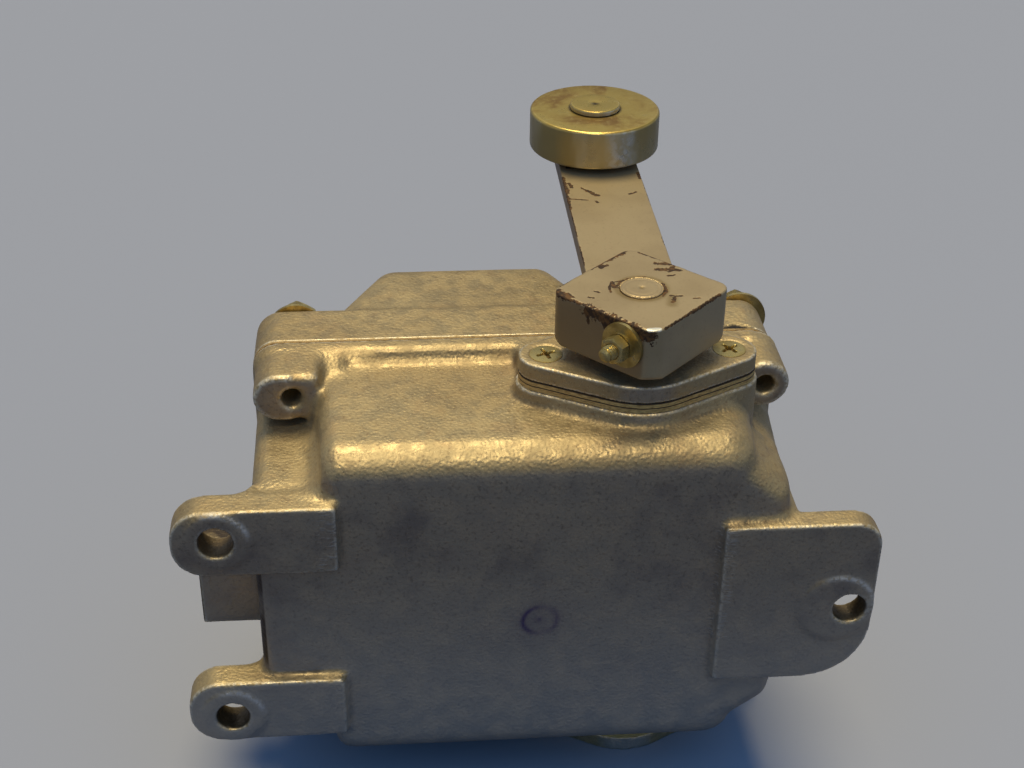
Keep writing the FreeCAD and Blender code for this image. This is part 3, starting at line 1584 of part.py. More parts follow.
def build_all():
    cotter_bore = make_cotter_bore()
    cotter, cotter_washer, cotter_spring_washer, cotter_nut = make_cotter_set()
    pieces = [
        make_housing(),
        make_cover(),
        make_cover_gasket(),
        *make_cover_fasteners(),
        make_bearing_flange(),
        make_flange_gasket("flange_gasket", pad_top, size.SpigotSize + size.RingRise),
        make_flange_screws("flange_screws", top_plate_high, FreeCAD.Rotation()),
        make_bottom_flange(),
        make_flange_gasket("bottom_gasket", size.FlangePlate, size.LowerBushOuter + size.RingRise),
        make_flange_screws("bottom_screws", ZERO, UPSIDE_DOWN),
        make_upper_bearing(),
        make_lower_bearing(),
        make_shaft_seal(),
        make_spring_post(),
        make_return_spring(),
        make_contact_block(),
        make_block_screws(),
        make_terminal_screws(),
        make_pivot_pin(),
        make_earth_screw(),
        make_shaft(cotter_bore),
        make_lever_hub(cotter_bore),
        make_lever_arm(),
        cotter,
        cotter_washer,
        cotter_spring_washer,
        cotter_nut,
        make_roller(),
        make_roller_bush(),
        make_roller_pin(),
        make_roller_washer(),
        make_cam("cam_lower", lower_space, -1),
        make_cam("cam_upper", upper_space, 1),
        make_cam_spacers(),
        make_stack_ring(),
        make_spring_dog(),
    ]
    for index, space in enumerate(space_levels, 1):
        pieces.append(make_contact_lever(index, space))
        pieces.append(make_bridge(index, space))
        pieces.append(make_lever_spring(index, space))
    for index, level in enumerate(strip_levels(), 1):
        pieces.append(make_fixed_contact(index, level))
    return pieces


def write_all(pieces):
    doc.recompute()
    failed = [item.Name for item in doc.Objects if set(item.State) & {"Invalid", "Error"}]
    if failed:
        raise ValueError(f"failed objects: {failed}")
    for piece in pieces:
        if piece.Shape.isNull() or not piece.Shape.isValid():
            raise ValueError(f"{piece.Label} is not a valid shape")
    os.makedirs("parts", exist_ok=True)
    for piece in pieces:
        piece.Shape.exportStep(f"parts/{piece.Label}.step")
        print(piece.Label, len(piece.Shape.Solids), round(piece.Shape.Volume, 1))


write_all(build_all())
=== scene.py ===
"""Looks of the crane limit switch: cast and painted skins, hardware, floor, light and camera.

Lengths are in metres in the part's own frame unless a comment says otherwise.
"""
import json
import math

import bmesh
import bpy
import numpy as np
from mathutils import Matrix, Vector, noise


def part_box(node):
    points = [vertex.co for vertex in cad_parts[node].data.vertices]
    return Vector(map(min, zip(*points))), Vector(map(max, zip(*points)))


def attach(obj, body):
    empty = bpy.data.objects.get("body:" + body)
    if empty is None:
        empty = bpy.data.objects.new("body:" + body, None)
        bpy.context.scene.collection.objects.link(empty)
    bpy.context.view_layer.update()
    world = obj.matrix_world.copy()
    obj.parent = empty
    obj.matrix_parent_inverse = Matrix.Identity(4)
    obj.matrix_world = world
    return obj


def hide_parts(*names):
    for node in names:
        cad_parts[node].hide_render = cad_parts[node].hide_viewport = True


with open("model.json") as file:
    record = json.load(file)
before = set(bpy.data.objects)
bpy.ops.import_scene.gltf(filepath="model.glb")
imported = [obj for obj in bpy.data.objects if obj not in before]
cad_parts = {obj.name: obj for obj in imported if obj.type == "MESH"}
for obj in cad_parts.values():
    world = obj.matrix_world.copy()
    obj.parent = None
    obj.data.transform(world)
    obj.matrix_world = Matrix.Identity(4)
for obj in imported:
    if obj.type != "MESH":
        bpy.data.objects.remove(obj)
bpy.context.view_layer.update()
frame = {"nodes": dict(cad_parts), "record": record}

MM = 0.001
nodes = frame["nodes"]

# Main places, read from the solids
HOUSING_LOW, HOUSING_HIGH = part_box("housing")
MIDDLE = (HOUSING_LOW.z + HOUSING_HIGH.z) / 2
COVER_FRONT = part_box("cover")[0].y
COVER_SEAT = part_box("cover_washers")[0].y
PLATE_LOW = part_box("flange_gasket")[1].z
GASKET_THICK = PLATE_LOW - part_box("flange_gasket")[0].z
SCREW_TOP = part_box("flange_screws")[1].z
LOWER_SCREW_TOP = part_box("bottom_screws")[0].z
ARM_LOW, ARM_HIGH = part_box("lever_arm")
ROLLER_LOW, ROLLER_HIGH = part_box("roller")
PIN_LOW, PIN_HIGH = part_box("roller_pin")
SHAFT_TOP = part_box("shaft")[1].z
NUT_LOW, NUT_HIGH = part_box("cotter_nut")

# Skins: size of their small faces, and how often these are smoothed
CAST_VOXEL = 0.85 * MM
CAST_PASSES = 5
FLANGE_VOXEL = 0.6 * MM
FLANGE_PASSES = 4
SHEET_VOXEL = 0.45 * MM

# Lug holes, as X and Z of their axes, the rings around them and the lug face
LUG_FACE = HOUSING_LOW.y
LUG_HOLES = ((-0.13725, 0.1137), (-0.13725, 0.0413), (0.06925, 0.0775))
LUG_BORE = 5.5 * MM
LEFT_RING, RIGHT_RING = 10.5 * MM, 12.75 * MM
LUG_RINGS = (
    (*LUG_HOLES[0], LEFT_RING),
    (*LUG_HOLES[1], LEFT_RING),
    (HOUSING_HIGH.x - RIGHT_RING, MIDDLE, RIGHT_RING),
)

# Light, floor and camera. Angles are in degrees, the lens in millimetres
CAMERA_PLACE = (-0.0790, -0.4516, 0.4198)
CAMERA_TURN = (58.643, -0.658, -4.377)
CAMERA_LENS = 56.65
CAMERA_NEAR, CAMERA_FAR = 0.01, 20
FLOOR_HALF = 6.0
FLOOR_COLOUR = (0.40, 0.405, 0.425)
FLOOR_BOUNCE = (0.155, 0.16, 0.20)
FLOOR_CLOUD = 0.94
BACKDROP_COLOUR = (0.35, 0.365, 0.385)
AMBIENT_COLOUR = (0.19, 0.45, 1.0)
AMBIENT_LEVEL = 0.46
ROOM_DARK, ROOM_PALE = (0.05, 0.06, 0.075), (0.62, 0.64, 0.66)
ROOM_EDGES = (0.40, 0.62)
ROOM_SCALE = 2.2
SUN_COLOUR = (1.0, 0.86, 0.55)
SUN_SIDE = -3.0
SUN_LEVEL, SUN_LEAN, SUN_SPREAD = 2.5, 17.0, 26.0
GLINT_LEVEL, GLINT_LEAN, GLINT_SPREAD = 1.6, -25.0, 14.0


def colour(*levels):
    """A display colour of 0 to 255 as the linear values that a shader takes."""
    parts = [level / 255 for level in levels]
    return (*(c / 12.92 if c <= 0.04045 else ((c + 0.055) / 1.055) ** 2.4 for c in parts), 1.0)


# Enamel of the castings: its gold, the greyer front (painted shade with some dust, painted bounce
# light low down), then darker creases, dirt, painted shade, a painted highlight, wear and marks
GOLD, GOLD_PALE = colour(160, 139, 98), colour(172, 152, 110)
GOLD_STREAK, GOLD_GRAIN, GOLD_FLAKE = colour(150, 120, 84), colour(122, 98, 66), colour(248, 232, 190)
# The front's greys: painted shade with some dust; the low one is painted light bounced up from the floor
SHADE_AND_DUST_GREY, SHADE_AND_DUST_BLOTCH, BOUNCE_LIT_GREY = colour(152, 140, 122), colour(110, 103, 100), colour(186, 180, 168)
SHADE_AND_DUST_GRAIN, SHADE_AND_DUST_FLAKE = colour(92, 84, 72), colour(214, 204, 176)
# Darker concave creases, wear on ridges, and painted shade with grime on the left side
CREASE_DARK, RIDGE_WEAR, SHADE_AND_GRIME = colour(84, 66, 46), colour(232, 222, 196), colour(46, 34, 24)
# Painted shade inside the lug bores, and the dark gap at the cover
BORE_SHADE_DARK, BORE_SHADE_BROWN, GAP_DARK = colour(28, 20, 15), colour(74, 58, 40), colour(26, 19, 13)
# Ink, the lug rings' painted highlight, and nicks
INK, RING_HIGHLIGHT, NICKED = colour(58, 40, 92), colour(214, 212, 204), colour(176, 174, 166)
SEAM_GOLD, SEAM_GRAIN, SEAM_OPEN = colour(196, 164, 106), colour(150, 122, 78), colour(40, 28, 18)

# Paint of the lever, with painted shade on faces turned towards -X
BEIGE, BEIGE_DARK, BEIGE_SPECK = colour(180, 157, 114), colour(168, 145, 104), colour(142, 120, 84)
BEIGE_STAIN, BEIGE_SHADE = colour(128, 104, 50), colour(112, 90, 58)
RUST, RUST_PALE, BARE_STEEL = colour(52, 34, 20), colour(104, 72, 34), colour(232, 226, 204)

# Plated, plain and soft pieces
ZINC, ZINC_OLIVE = colour(194, 176, 116), colour(146, 128, 76)
# Dull zinc, and the dark of dirt and of painted shade in screw recesses
ZINC_DULL, ZINC_DIRT_AND_SHADE = colour(150, 140, 112), colour(70, 46, 22)
PLATE_GOLD, PLATE_BROWN, PLATE_PALE = colour(190, 164, 84), colour(126, 96, 44), colour(206, 186, 120)
RIM_OLIVE, RIM_PALE, RIM_SHINE = colour(168, 146, 88), colour(196, 182, 136), colour(210, 206, 186)
PLATE_DIRT = colour(44, 32, 18)
BRONZE, STEEL, BRASS = colour(178, 138, 84), colour(160, 158, 152), colour(206, 172, 96)
MOULDING, MOULDING_PALE = colour(58, 44, 38), colour(74, 56, 46)
FIBRE_PALE, FIBRE_BROWN, FIBRE_GAP = colour(224, 186, 110), colour(164, 126, 66), colour(54, 40, 26)
RUBBER, RUBBER_PALE = colour(22, 22, 23), colour(38, 37, 36)


class Graph:
    """A tree of shader nodes."""

    def __init__(self, owner):
        owner.use_nodes = True
        self.tree = owner.node_tree

    def fill(self, node, inputs):
        """Link other nodes' outputs to a node's inputs, or set plain values on them."""
        for key, value in dict(inputs).items():
            if isinstance(value, bpy.types.NodeSocket):
                self.tree.links.new(value, node.inputs[key])
            else:
                node.inputs[key].default_value = value

    def node(self, kind, output, inputs=(), **settings):
        """An output of a new node, once its settings and then its inputs are set."""
        made = self.tree.nodes.new(f"ShaderNode{kind}")
        for key, value in settings.items():
            setattr(made, key, value)
        self.fill(made, inputs)
        return made.outputs[output]


class Shader(Graph):
    """A procedural material on the object's own coordinates."""

    def __init__(self, name):
        self.material = bpy.data.materials.new(name)
        super().__init__(self.material)
        self.surface = self.tree.nodes["Principled BSDF"]
        self.place = self.node("TexCoord", "Object")
        self.normal = self.node("TexCoord", "Normal")
        self.relief = None

    def noise(self, scale, detail=3.0, rough=0.5, warp=0.0, place=None):
        """Clouds with about this many in a metre, most of them from 0.3 to 0.7."""
        inputs = {"Scale": scale, "Detail": detail, "Roughness": rough, "Distortion": warp}
        return self.node("TexNoise", "Fac", {"Vector": place or self.place, **inputs})

    def cells(self, scale, feature="F1"):
        """Distance from the middle of the nearest of scattered cells."""
        return self.node("TexVoronoi", "Distance", {0: self.place, "Scale": scale}, feature=feature)

    def stretched(self, x, y, z):
        """The object's coordinates, scaled along each axis."""
        return self.node("Mapping", "Vector", {"Vector": self.place, "Scale": (x, y, z)})

    def maths(self, operation, a, b=0.0):
        """A sum, product or the like of two values."""
        return self.node("Math", 0, {0: a, 1: b}, operation=operation)

    def times(self, a, b):
        return self.maths("MULTIPLY", a, b)

    def span(self, value, low, high, to_low=0.0, to_high=1.0):
        """Value from low to high spread smoothly over to_low to to_high."""
        inputs = {"Value": value, "From Min": low, "From Max": high, "To Min": to_low, "To Max": to_high}
        return self.node("MapRange", "Result", inputs, interpolation_type="SMOOTHSTEP")

    def mix(self, amount, a, b):
        """Colour a where the amount is 0, and b where it is 1."""
        return self.node("Mix", "Result", {"Factor": amount, "A": a, "B": b}, data_type="RGBA")

    def attribute(self, name):
        """A value that the piece keeps for each of its vertices."""
        return self.node("Attribute", "Fac", attribute_name=name)

    def level(self, axis):
        """The place along X, Y or Z."""
        return self.node("SeparateXYZ", axis, {0: self.place})

    def facing(self, axis):
        """How much the surface faces along +X, +Y or +Z, from -1 to 1."""
        return self.node("SeparateXYZ", axis, {0: self.normal})

    def bump(self, height, strength, depth):
        """Relief on top of the relief made so far."""
        inputs = {"Strength": strength, "Distance": depth, "Height": height}
        if self.relief is not None:
            inputs["Normal"] = self.relief
        self.relief = self.node("Bump", "Normal", inputs)

    def finish(self, base, rough, metallic=0.0, specular=0.5):
        """The material, once its surface has these values and the relief."""
        inputs = {"Base Color": base, "Roughness": rough, "Metallic": metallic}
        inputs["Specular IOR Level"] = specular
        if self.relief is not None:
            inputs["Normal"] = self.relief
        self.fill(self.surface, inputs)
        return self.material


# Materials

# Where the grey of the castings' front, painted shade with some dust, ends: by the way a face looks
# and by depth; and the height over which painted bounce light makes it lighter towards the bottom
FRONT_FACING, FRONT_DEPTH = (-0.99, -0.88), (18.5 * MM, 21 * MM)
SIDE_FACING, SIDE_DEPTH = (0.1, 0.4), (-34 * MM, -31 * MM)
BOUNCE_LIT_HEIGHT = (20 * MM, 110 * MM)


def cast_enamel():
    """Bronze-gold enamel over a rough sand casting, worn and dirty in places, with painted light and
    shade.
    """
    s = Shader("cast_enamel")
    patches = s.noise(20, 3)
    streaks = s.noise(85, 4, 0.6, 0.6)
    grain = s.noise(780, 4, 0.65)
    flakes = s.cells(1300)
    gold = s.mix(s.span(patches, 0.35, 0.65), GOLD, GOLD_PALE)
    gold = s.mix(s.span(streaks, 0.5, 0.72, 0, 0.3), gold, GOLD_STREAK)
    gold = s.mix(s.span(grain, 0.52, 0.7, 0, 0.55), gold, GOLD_GRAIN)
    gold = s.mix(s.span(flakes, 0.0, 0.2, 0.75, 0.0), gold, GOLD_FLAKE)
    y, z = s.level(1), s.level(2)
    # Painted shade: faces turned to the front, and faces near the front that barely face up, turn grey
    front = s.span(s.facing(1), *FRONT_FACING, 1.0, 0.0)
    front = s.times(front, s.span(y, *FRONT_DEPTH, 1.0, 0.35))
    sides = s.times(s.span(y, *SIDE_DEPTH, 1, 0), s.span(s.facing(2), *SIDE_FACING, 1, 0))
    front = s.maths("MAXIMUM", front, sides)
    blotches = s.noise(38, 4, 0.62)
    shade_and_dust = s.mix(s.span(blotches, 0.45, 0.72), SHADE_AND_DUST_GREY, SHADE_AND_DUST_BLOTCH)
    shade_and_dust = s.mix(s.span(grain, 0.5, 0.68, 0, 0.5), shade_and_dust, SHADE_AND_DUST_GRAIN)
    shade_and_dust = s.mix(s.span(flakes, 0.0, 0.14, 0.5, 0.0), shade_and_dust, SHADE_AND_DUST_FLAKE)
    # Painted bounce light: the grey gets lighter towards the bottom
    shade_and_dust = s.mix(s.span(z, *BOUNCE_LIT_HEIGHT, 0.9, 0.0), shade_and_dust, BOUNCE_LIT_GREY)
    base = s.mix(s.times(front, 0.75), gold, shade_and_dust)
    # Concave creases are darker
    base = s.mix(s.span(s.attribute("groove"), 0.15, 0.8, 0, 0.7), base, CREASE_DARK)
    worn = s.times(s.span(s.attribute("ridge"), 0.25, 0.9), s.span(grain, 0.35, 0.6))
    base = s.mix(s.times(worn, 0.75), base, RIDGE_WEAR)
    base = s.mix(s.attribute("smudge"), base, INK)
    # Painted shade inside the lug bores
    base = s.mix(s.attribute("bore"), base, s.mix(s.span(blotches, 0.4, 0.6), BORE_SHADE_DARK, BORE_SHADE_BROWN))
    # Painted highlight on the upper arcs of the lug rings
    ring_highlight = s.times(s.attribute("ring_highlight"), s.span(grain, 0.38, 0.55, 0.25, 1.0))
    base = s.mix(ring_highlight, base, RING_HIGHLIGHT)
    # Painted shade with grime on the left side between the lugs
    shade_and_grime = s.times(s.attribute("shade_and_grime"), s.span(s.noise(70, 3), 0.35, 0.5, 0.45, 0.95))
    base = s.mix(shade_and_grime, base, SHADE_AND_GRIME)
    dashes = s.noise(1, 2, 0.5, place=s.stretched(300, 300, 1700))
    nicks = s.times(s.attribute("nicks"), s.span(dashes, 0.54, 0.62))
    base = s.mix(s.times(nicks, 0.35), base, NICKED)
    base = s.mix(s.attribute("gap"), base, GAP_DARK)
    s.bump(s.cells(900, "SMOOTH_F1"), 0.6, 0.26 * MM)
    s.bump(grain, 0.6, 0.16 * MM)
    s.bump(nicks, 0.4, 0.2 * MM)
    return s.finish(base, s.span(s.noise(180, 3), 0.3, 0.7, 0.36, 0.56), metallic=0.5)


def plain_metal(name, tone, rough):
    """Turned or stamped metal, faintly cloudy in tone and roughness."""
    s = Shader(name)
    cloud = s.noise(120, 4, 0.6)
    darker = tuple(c * 0.72 for c in tone[:3]) + (1.0,)
    base = s.mix(s.span(cloud, 0.35, 0.7), tone, darker)
    s.bump(s.noise(1800, 2), 0.15, 0.03 * MM)
    return s.finish(base, s.span(cloud, 0.3, 0.7, rough - 0.08, rough + 0.08), metallic=1.0)


def yellow_zinc():
    """Yellow passivated zinc, darker where the piece's own value is high: soiled, and painted shade in
    recesses.
    """
    s = Shader("yellow_zinc")
    cloud = s.noise(160, 4, 0.6)
    dirt_and_shade = s.attribute("dirt_and_shade")
    base = s.mix(s.span(cloud, 0.35, 0.65), ZINC, ZINC_OLIVE)
    base = s.mix(s.span(s.noise(420, 3), 0.56, 0.7, 0, 0.6), base, ZINC_DULL)
    # Dirt, and painted shade in screw recesses
    base = s.mix(dirt_and_shade, base, ZINC_DIRT_AND_SHADE)
    s.bump(s.noise(900, 3), 0.25, 0.06 * MM)
    rough = s.maths("MAXIMUM", s.span(cloud, 0.3, 0.7, 0.24, 0.42), s.times(dirt_and_shade, 0.75))
    return s.finish(base, rough, metallic=0.85)


# The bright patch on the roller's rim, right of its middle: its start and end
SHINE_START, SHINE_END = (0.0, 6 * MM), (9 * MM, 15 * MM)


def roller_plating():
    """Olive-gold plating, stained brown on the top face, with a speckled rim."""
    s = Shader("roller_plating")
    cloud = s.noise(48, 5, 0.62, 0.4)
    fine = s.noise(420, 4, 0.6)
    top = s.mix(s.span(cloud, 0.42, 0.66), PLATE_GOLD, PLATE_BROWN)
    top = s.mix(s.span(fine, 0.5, 0.75, 0, 0.4), top, PLATE_PALE)
    bands = s.noise(1, 3, 0.6, place=s.stretched(60, 60, 14))
    side = s.mix(s.span(bands, 0.4, 0.66), RIM_OLIVE, RIM_PALE)
    right = s.maths("SUBTRACT", s.level(0), (ROLLER_LOW.x + ROLLER_HIGH.x) / 2)
    patch = s.times(s.span(right, *SHINE_START), s.span(right, *SHINE_END, 1, 0))
    side = s.mix(s.times(patch, s.span(fine, 0.4, 0.62, 0.2, 1.0)), side, RIM_SHINE)
    base = s.mix(s.span(s.facing(2), 0.3, 0.8), side, top)
    base = s.mix(s.attribute("dirt_and_shade"), base, PLATE_DIRT)
    s.bump(fine, 0.2, 0.05 * MM)
    return s.finish(base, s.span(cloud, 0.35, 0.65, 0.26, 0.42), metallic=0.6)


def lever_paint():
    """Smooth beige-gold paint, painted shade on faces turned to -X, and dark chips given by the piece's
    own chip value.
    """
    s = Shader("lever_paint")
    base = s.mix(s.span(s.noise(45, 3), 0.35, 0.7), BEIGE, BEIGE_DARK)
    speck = s.noise(900, 3, 0.6)
    base = s.mix(s.span(speck, 0.55, 0.75, 0, 0.35), base, BEIGE_SPECK)
    base = s.mix(s.span(s.attribute("stain"), 0.3, 0.9, 0, 0.65), base, BEIGE_STAIN)
    # Painted shade on faces turned towards -X
    base = s.mix(s.span(s.facing(0), -0.72, -0.5, 0.6, 0.0), base, BEIGE_SHADE)
    rust = s.mix(s.span(s.noise(700, 3), 0.4, 0.65), RUST, RUST_PALE)
    frayed = s.span(s.noise(1100, 3, 0.65), 0.3, 0.7, -0.16, 0.16)
    chipped = s.span(s.maths("ADD", s.attribute("chip"), frayed), 0.44, 0.54)
    base = s.mix(chipped, base, rust)
    base = s.mix(s.span(s.attribute("bare"), 0.4, 0.6), base, BARE_STEEL)
    s.bump(speck, 0.25, 0.05 * MM)
    s.bump(chipped, -0.6, 0.12 * MM)
    rough = s.mix(chipped, (0.4, 0.4, 0.4, 1), (0.7, 0.7, 0.7, 1))
    return s.finish(base, rough, metallic=0.4)


def dark_moulding():
    """Brown pressed insulation of the contact block."""
    s = Shader("dark_moulding")
    base = s.mix(s.noise(60, 3), MOULDING, MOULDING_PALE)
    s.bump(s.noise(1500, 2), 0.2, 0.03 * MM)
    return s.finish(base, 0.5)


# Dark lines in the gasket's edge: under the flange, and a crack in it
GASKET_SHADE, CRACK_SHARE, CRACK_EDGE = (0.25 * MM, 0.55 * MM), 0.52, (0.12 * MM, 0.3 * MM)
GASKET_WAVE = 0.1 * MM


def gasket_sheet():
    """Pressed fibre whose painted edge shows its layers."""
    s = Shader("gasket_sheet")
    fibre = s.noise(1, 4, 0.6, place=s.stretched(500, 500, 2600))
    base = s.mix(s.span(fibre, 0.35, 0.7), FIBRE_PALE, FIBRE_BROWN)
    depth = s.maths("SUBTRACT", PLATE_LOW, s.level(2))
    depth = s.maths("ADD", depth, s.span(s.noise(60, 2), 0.3, 0.7, -GASKET_WAVE, GASKET_WAVE))
    crack = s.maths("ABSOLUTE", s.maths("SUBTRACT", depth, GASKET_THICK * CRACK_SHARE))
    lines = s.maths("MAXIMUM", s.span(depth, *GASKET_SHADE, 1, 0), s.span(crack, *CRACK_EDGE, 1, 0))
    base = s.mix(lines, base, FIBRE_GAP)
    s.bump(fibre, 0.5, 0.15 * MM)
    s.bump(lines, -0.6, 0.3 * MM)
    return s.finish(base, 0.6, metallic=0.2)


# The seam's open line, as depth behind the housing, and the X where it opens wide
LINE_FRONT, LINE_BACK = (0.25 * MM, 0.4 * MM), (0.7 * MM, 0.85 * MM)
LINE_OPENS = (-48 * MM, -40 * MM)


def painted_seam():
    """The cover gasket's painted edge, with a thin dark line left open."""
    s = Shader("painted_seam")
    depth = s.maths("SUBTRACT", s.level(1), HOUSING_HIGH.y)
    line = s.times(s.span(depth, *LINE_FRONT), s.span(depth, *LINE_BACK, 1, 0))
    beside = s.span(s.level(0), *LINE_OPENS)
    beside = s.times(beside, s.span(s.noise(90, 3), 0.4, 0.5, 0.55, 1.0))
    open_line = s.times(line, s.maths("MAXIMUM", beside, 0.22))
    grain = s.noise(560, 4, 0.65)
    base = s.mix(s.span(grain, 0.5, 0.7), SEAM_GOLD, SEAM_GRAIN)
    base = s.mix(open_line, base, SEAM_OPEN)
    s.bump(grain, 0.5, 0.2 * MM)
    s.bump(open_line, -0.8, 0.4 * MM)
    return s.finish(base, 0.5, metallic=0.4)


def seal_rubber():
    """Black rubber of the shaft seal."""
    s = Shader("seal_rubber")
    base = s.mix(s.noise(200, 3), RUBBER, RUBBER_PALE)
    s.bump(s.noise(2500, 2), 0.2, 0.03 * MM)
    return s.finish(base, 0.62)


MATERIALS = {
    "enamel": cast_enamel(),
    "paint": lever_paint(),
    "gasket": gasket_sheet(),
    "zinc": yellow_zinc(),
    "bronze": plain_metal("bearing_bronze", BRONZE, 0.38),
    "rubber": seal_rubber(),
    "steel": plain_metal("turned_steel", STEEL, 0.34),
    "moulding": dark_moulding(),
    "brass": plain_metal("stamped_brass", BRASS, 0.3),
    "roller": roller_plating(),
    "seam": painted_seam(),
}


def dress_solids():
    """Every solid gets the material of its slot."""
    for part in frame["record"]["subparts"]:
        thing = nodes[part["node"]]
        thing.data.materials.clear()
        thing.data.materials.append(MATERIALS[part["material_slot"]])
    nodes["cover_gasket"].data.materials[0] = MATERIALS["seam"]


# Skins: the solids' surface, as soft as castings and painted plate

def put(name, data):
    """A new object in the scene."""
    thing = bpy.data.objects.new(name, data)
    bpy.context.collection.objects.link(thing)
    return thing


def read(items, field, width, kind=np.float32):
    """A field of a mesh's vertices or edges as rows of an array."""
    values = np.empty(len(items) * width, dtype=kind)
    items.foreach_get(field, values)
    return values.reshape(-1, width)


def mesh_arrays(data):
    """Places of the vertices and the two ends of every edge, as arrays."""
    places = read(data.vertices, "co", 3).astype(np.float64)
    return places, read(data.edges, "vertices", 2, np.int32)


def vertex_normals(data):
    """The outward direction at every vertex."""
    return read(data.vertex_normals, "vector", 3).astype(np.float64)


def neighbour_mean(values, ends):
    """For each vertex, the mean value of those that an edge joins to it."""
    count = len(values)
    total = np.empty_like(values)
    for axis in range(values.shape[1]):
        first = np.bincount(ends[:, 0], weights=values[ends[:, 1], axis], minlength=count)
        second = np.bincount(ends[:, 1], weights=values[ends[:, 0], axis], minlength=count)
        total[:, axis] = first + second
    links = np.bincount(ends.ravel(), minlength=count)
    return total / np.maximum(links, 1)[:, None]


def blur(values, ends, passes, amount=0.5):
    """Values drawn towards their neighbours' mean, a number of times."""
    for _ in range(passes):
        values = values + (neighbour_mean(values, ends) - values) * amount
    return values


def store(data, name, values):
    """Keep a value per vertex, which a material reads by this name."""
    layer = data.attributes.new(name, "FLOAT", "POINT")
    layer.data.foreach_set("value", values.astype(np.float32))


def inside(values, low, high, edge):
    """1 between low and high, fading to 0 over edge outside them."""
    return np.clip(np.minimum(values - low, high - values) / edge + 1.0, 0.0, 1.0)


def merged(meshes):
    """One new mesh of several."""
    work = bmesh.new()
    for data in meshes:
        work.from_mesh(data)
    whole = bpy.data.meshes.new("whole")
    work.to_mesh(whole)
    work.free()
    return whole


def face_outwards(data, weld=0.0):
    """Turn a closed mesh's faces outwards, once points closer than weld are joined."""
    work = bmesh.new()
    work.from_mesh(data)
    if weld:
        bmesh.ops.remove_doubles(work, verts=work.verts, dist=weld)
    bmesh.ops.recalc_face_normals(work, faces=work.faces)
    work.to_mesh(data)
    work.free()


def bar(profile, left, right):
    """A bar along X from a closed profile of Y and Z, all in millimetres."""
    count = len(profile)
    points = [(x * MM, y * MM, z * MM) for x in (left, right) for y, z in profile]
    sides = [(i, (i + 1) % count, (i + 1) % count + count, i + count) for i in range(count)]
    data = bpy.data.meshes.new("bar")
    data.from_pydata(points, [], [tuple(range(count)), tuple(range(count, 2 * count)), *sides])
    face_outwards(data)
    return data


def lumps(places, scale):
    """Soft random values from -1 to 1 with hills about one scale across."""
    return np.array([noise.noise(Vector(place) / scale) for place in places])


def remeshed(name, voxel, fills=()):
    """A new object with the surface of the node and its fills in even small faces."""
    skin = put(f"{name}_skin", merged([nodes[name].data, *fills]))
    remesh = skin.modifiers.new("remesh", "REMESH")
    remesh.mode = "VOXEL"
    remesh.voxel_size = voxel
    bpy.context.view_layer.update()
    graph = bpy.context.evaluated_depsgraph_get()
    data = bpy.data.meshes.new_from_object(skin.evaluated_get(graph))
    skin.modifiers.clear()
    skin.data = data
    data.shade_smooth()
    return skin


BEND_GAIN = 9


def mark_bends(data, ends, voxel):
    """Keep how far each place bends out and in, for wear on ridges and darker creases."""
    places = mesh_arrays(data)[0]
    normals = vertex_normals(data)
    bend = ((places - neighbour_mean(places, ends)) * normals).sum(axis=1) / voxel
    bend = blur(bend[:, None], ends, 2)[:, 0] * BEND_GAIN
    store(data, "ridge", np.clip(bend, 0, 1))
    store(data, "groove", np.clip(-bend, 0, 1))


def move_vertices(data, places):
    data.vertices.foreach_set("co", places.astype(np.float32).ravel())
    data.update()


EASE_EDGE = 3 * MM


def smoothed(name, voxel, passes, seams=(), fills=(), eased=()):
    """A node's skin with softened edges: its object, places, edges and how soft each place is.

    seams are (axis, level, reach): near such a joint plane the surface stays crisp.
    eased are (low, high, passes): in such a box, in millimetres, it is smoothed further.
    """
    skin = remeshed(name, voxel, fills)
    places, ends = mesh_arrays(skin.data)
    soft = np.ones(len(places))
    for axis, level, reach in seams:
        soft = np.minimum(soft, np.clip(np.abs(places[:, axis] - level) / reach - 0.5, 0.0, 1.0))
    places = places + (blur(places, ends, passes) - places) * soft[:, None]
    for low, high, extra in eased:
        within = np.ones(len(places))
        for axis in range(3):
            within = within * inside(places[:, axis], low[axis] * MM, high[axis] * MM, EASE_EDGE)
        places = places + (blur(places, ends, extra) - places) * (within * soft)[:, None]
    move_vertices(skin.data, places)
    return skin, places, ends, soft


def take_over(skin, name, body, material):
    """The new piece stands for a node, rides its body and wears a material."""
    skin.data.materials.clear()
    skin.data.materials.append(MATERIALS[material])
    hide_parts(name)
    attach(skin, body)


# Unevenness of a cast face: distance between its hills and their height, coarse and fine
SWELL_WIDE, SWELL_HIGH = 13 * MM, 0.12 * MM
RIPPLE_WIDE, RIPPLE_HIGH = 1.9 * MM, 0.02 * MM


def cast_skin(name, voxel=CAST_VOXEL, passes=CAST_PASSES, seams=(), fills=(), eased=(), marks=None):
    """Replace a cast node: rounded edges, filled inside corners, uneven face."""
    skin, places, ends, soft = smoothed(name, voxel, passes, seams, fills, eased)
    data = skin.data
    normals = vertex_normals(data)
    swell = lumps(places, SWELL_WIDE) * SWELL_HIGH + lumps(places, RIPPLE_WIDE) * RIPPLE_HIGH
    swell = np.minimum(swell, 0.0) - RIPPLE_HIGH
    places = places + normals * (swell * soft)[:, None]
    move_vertices(data, places)
    mark_bends(data, ends, voxel)
    if marks:
        marks(data, places, normals)
    take_over(skin, name, "case", "enamel")


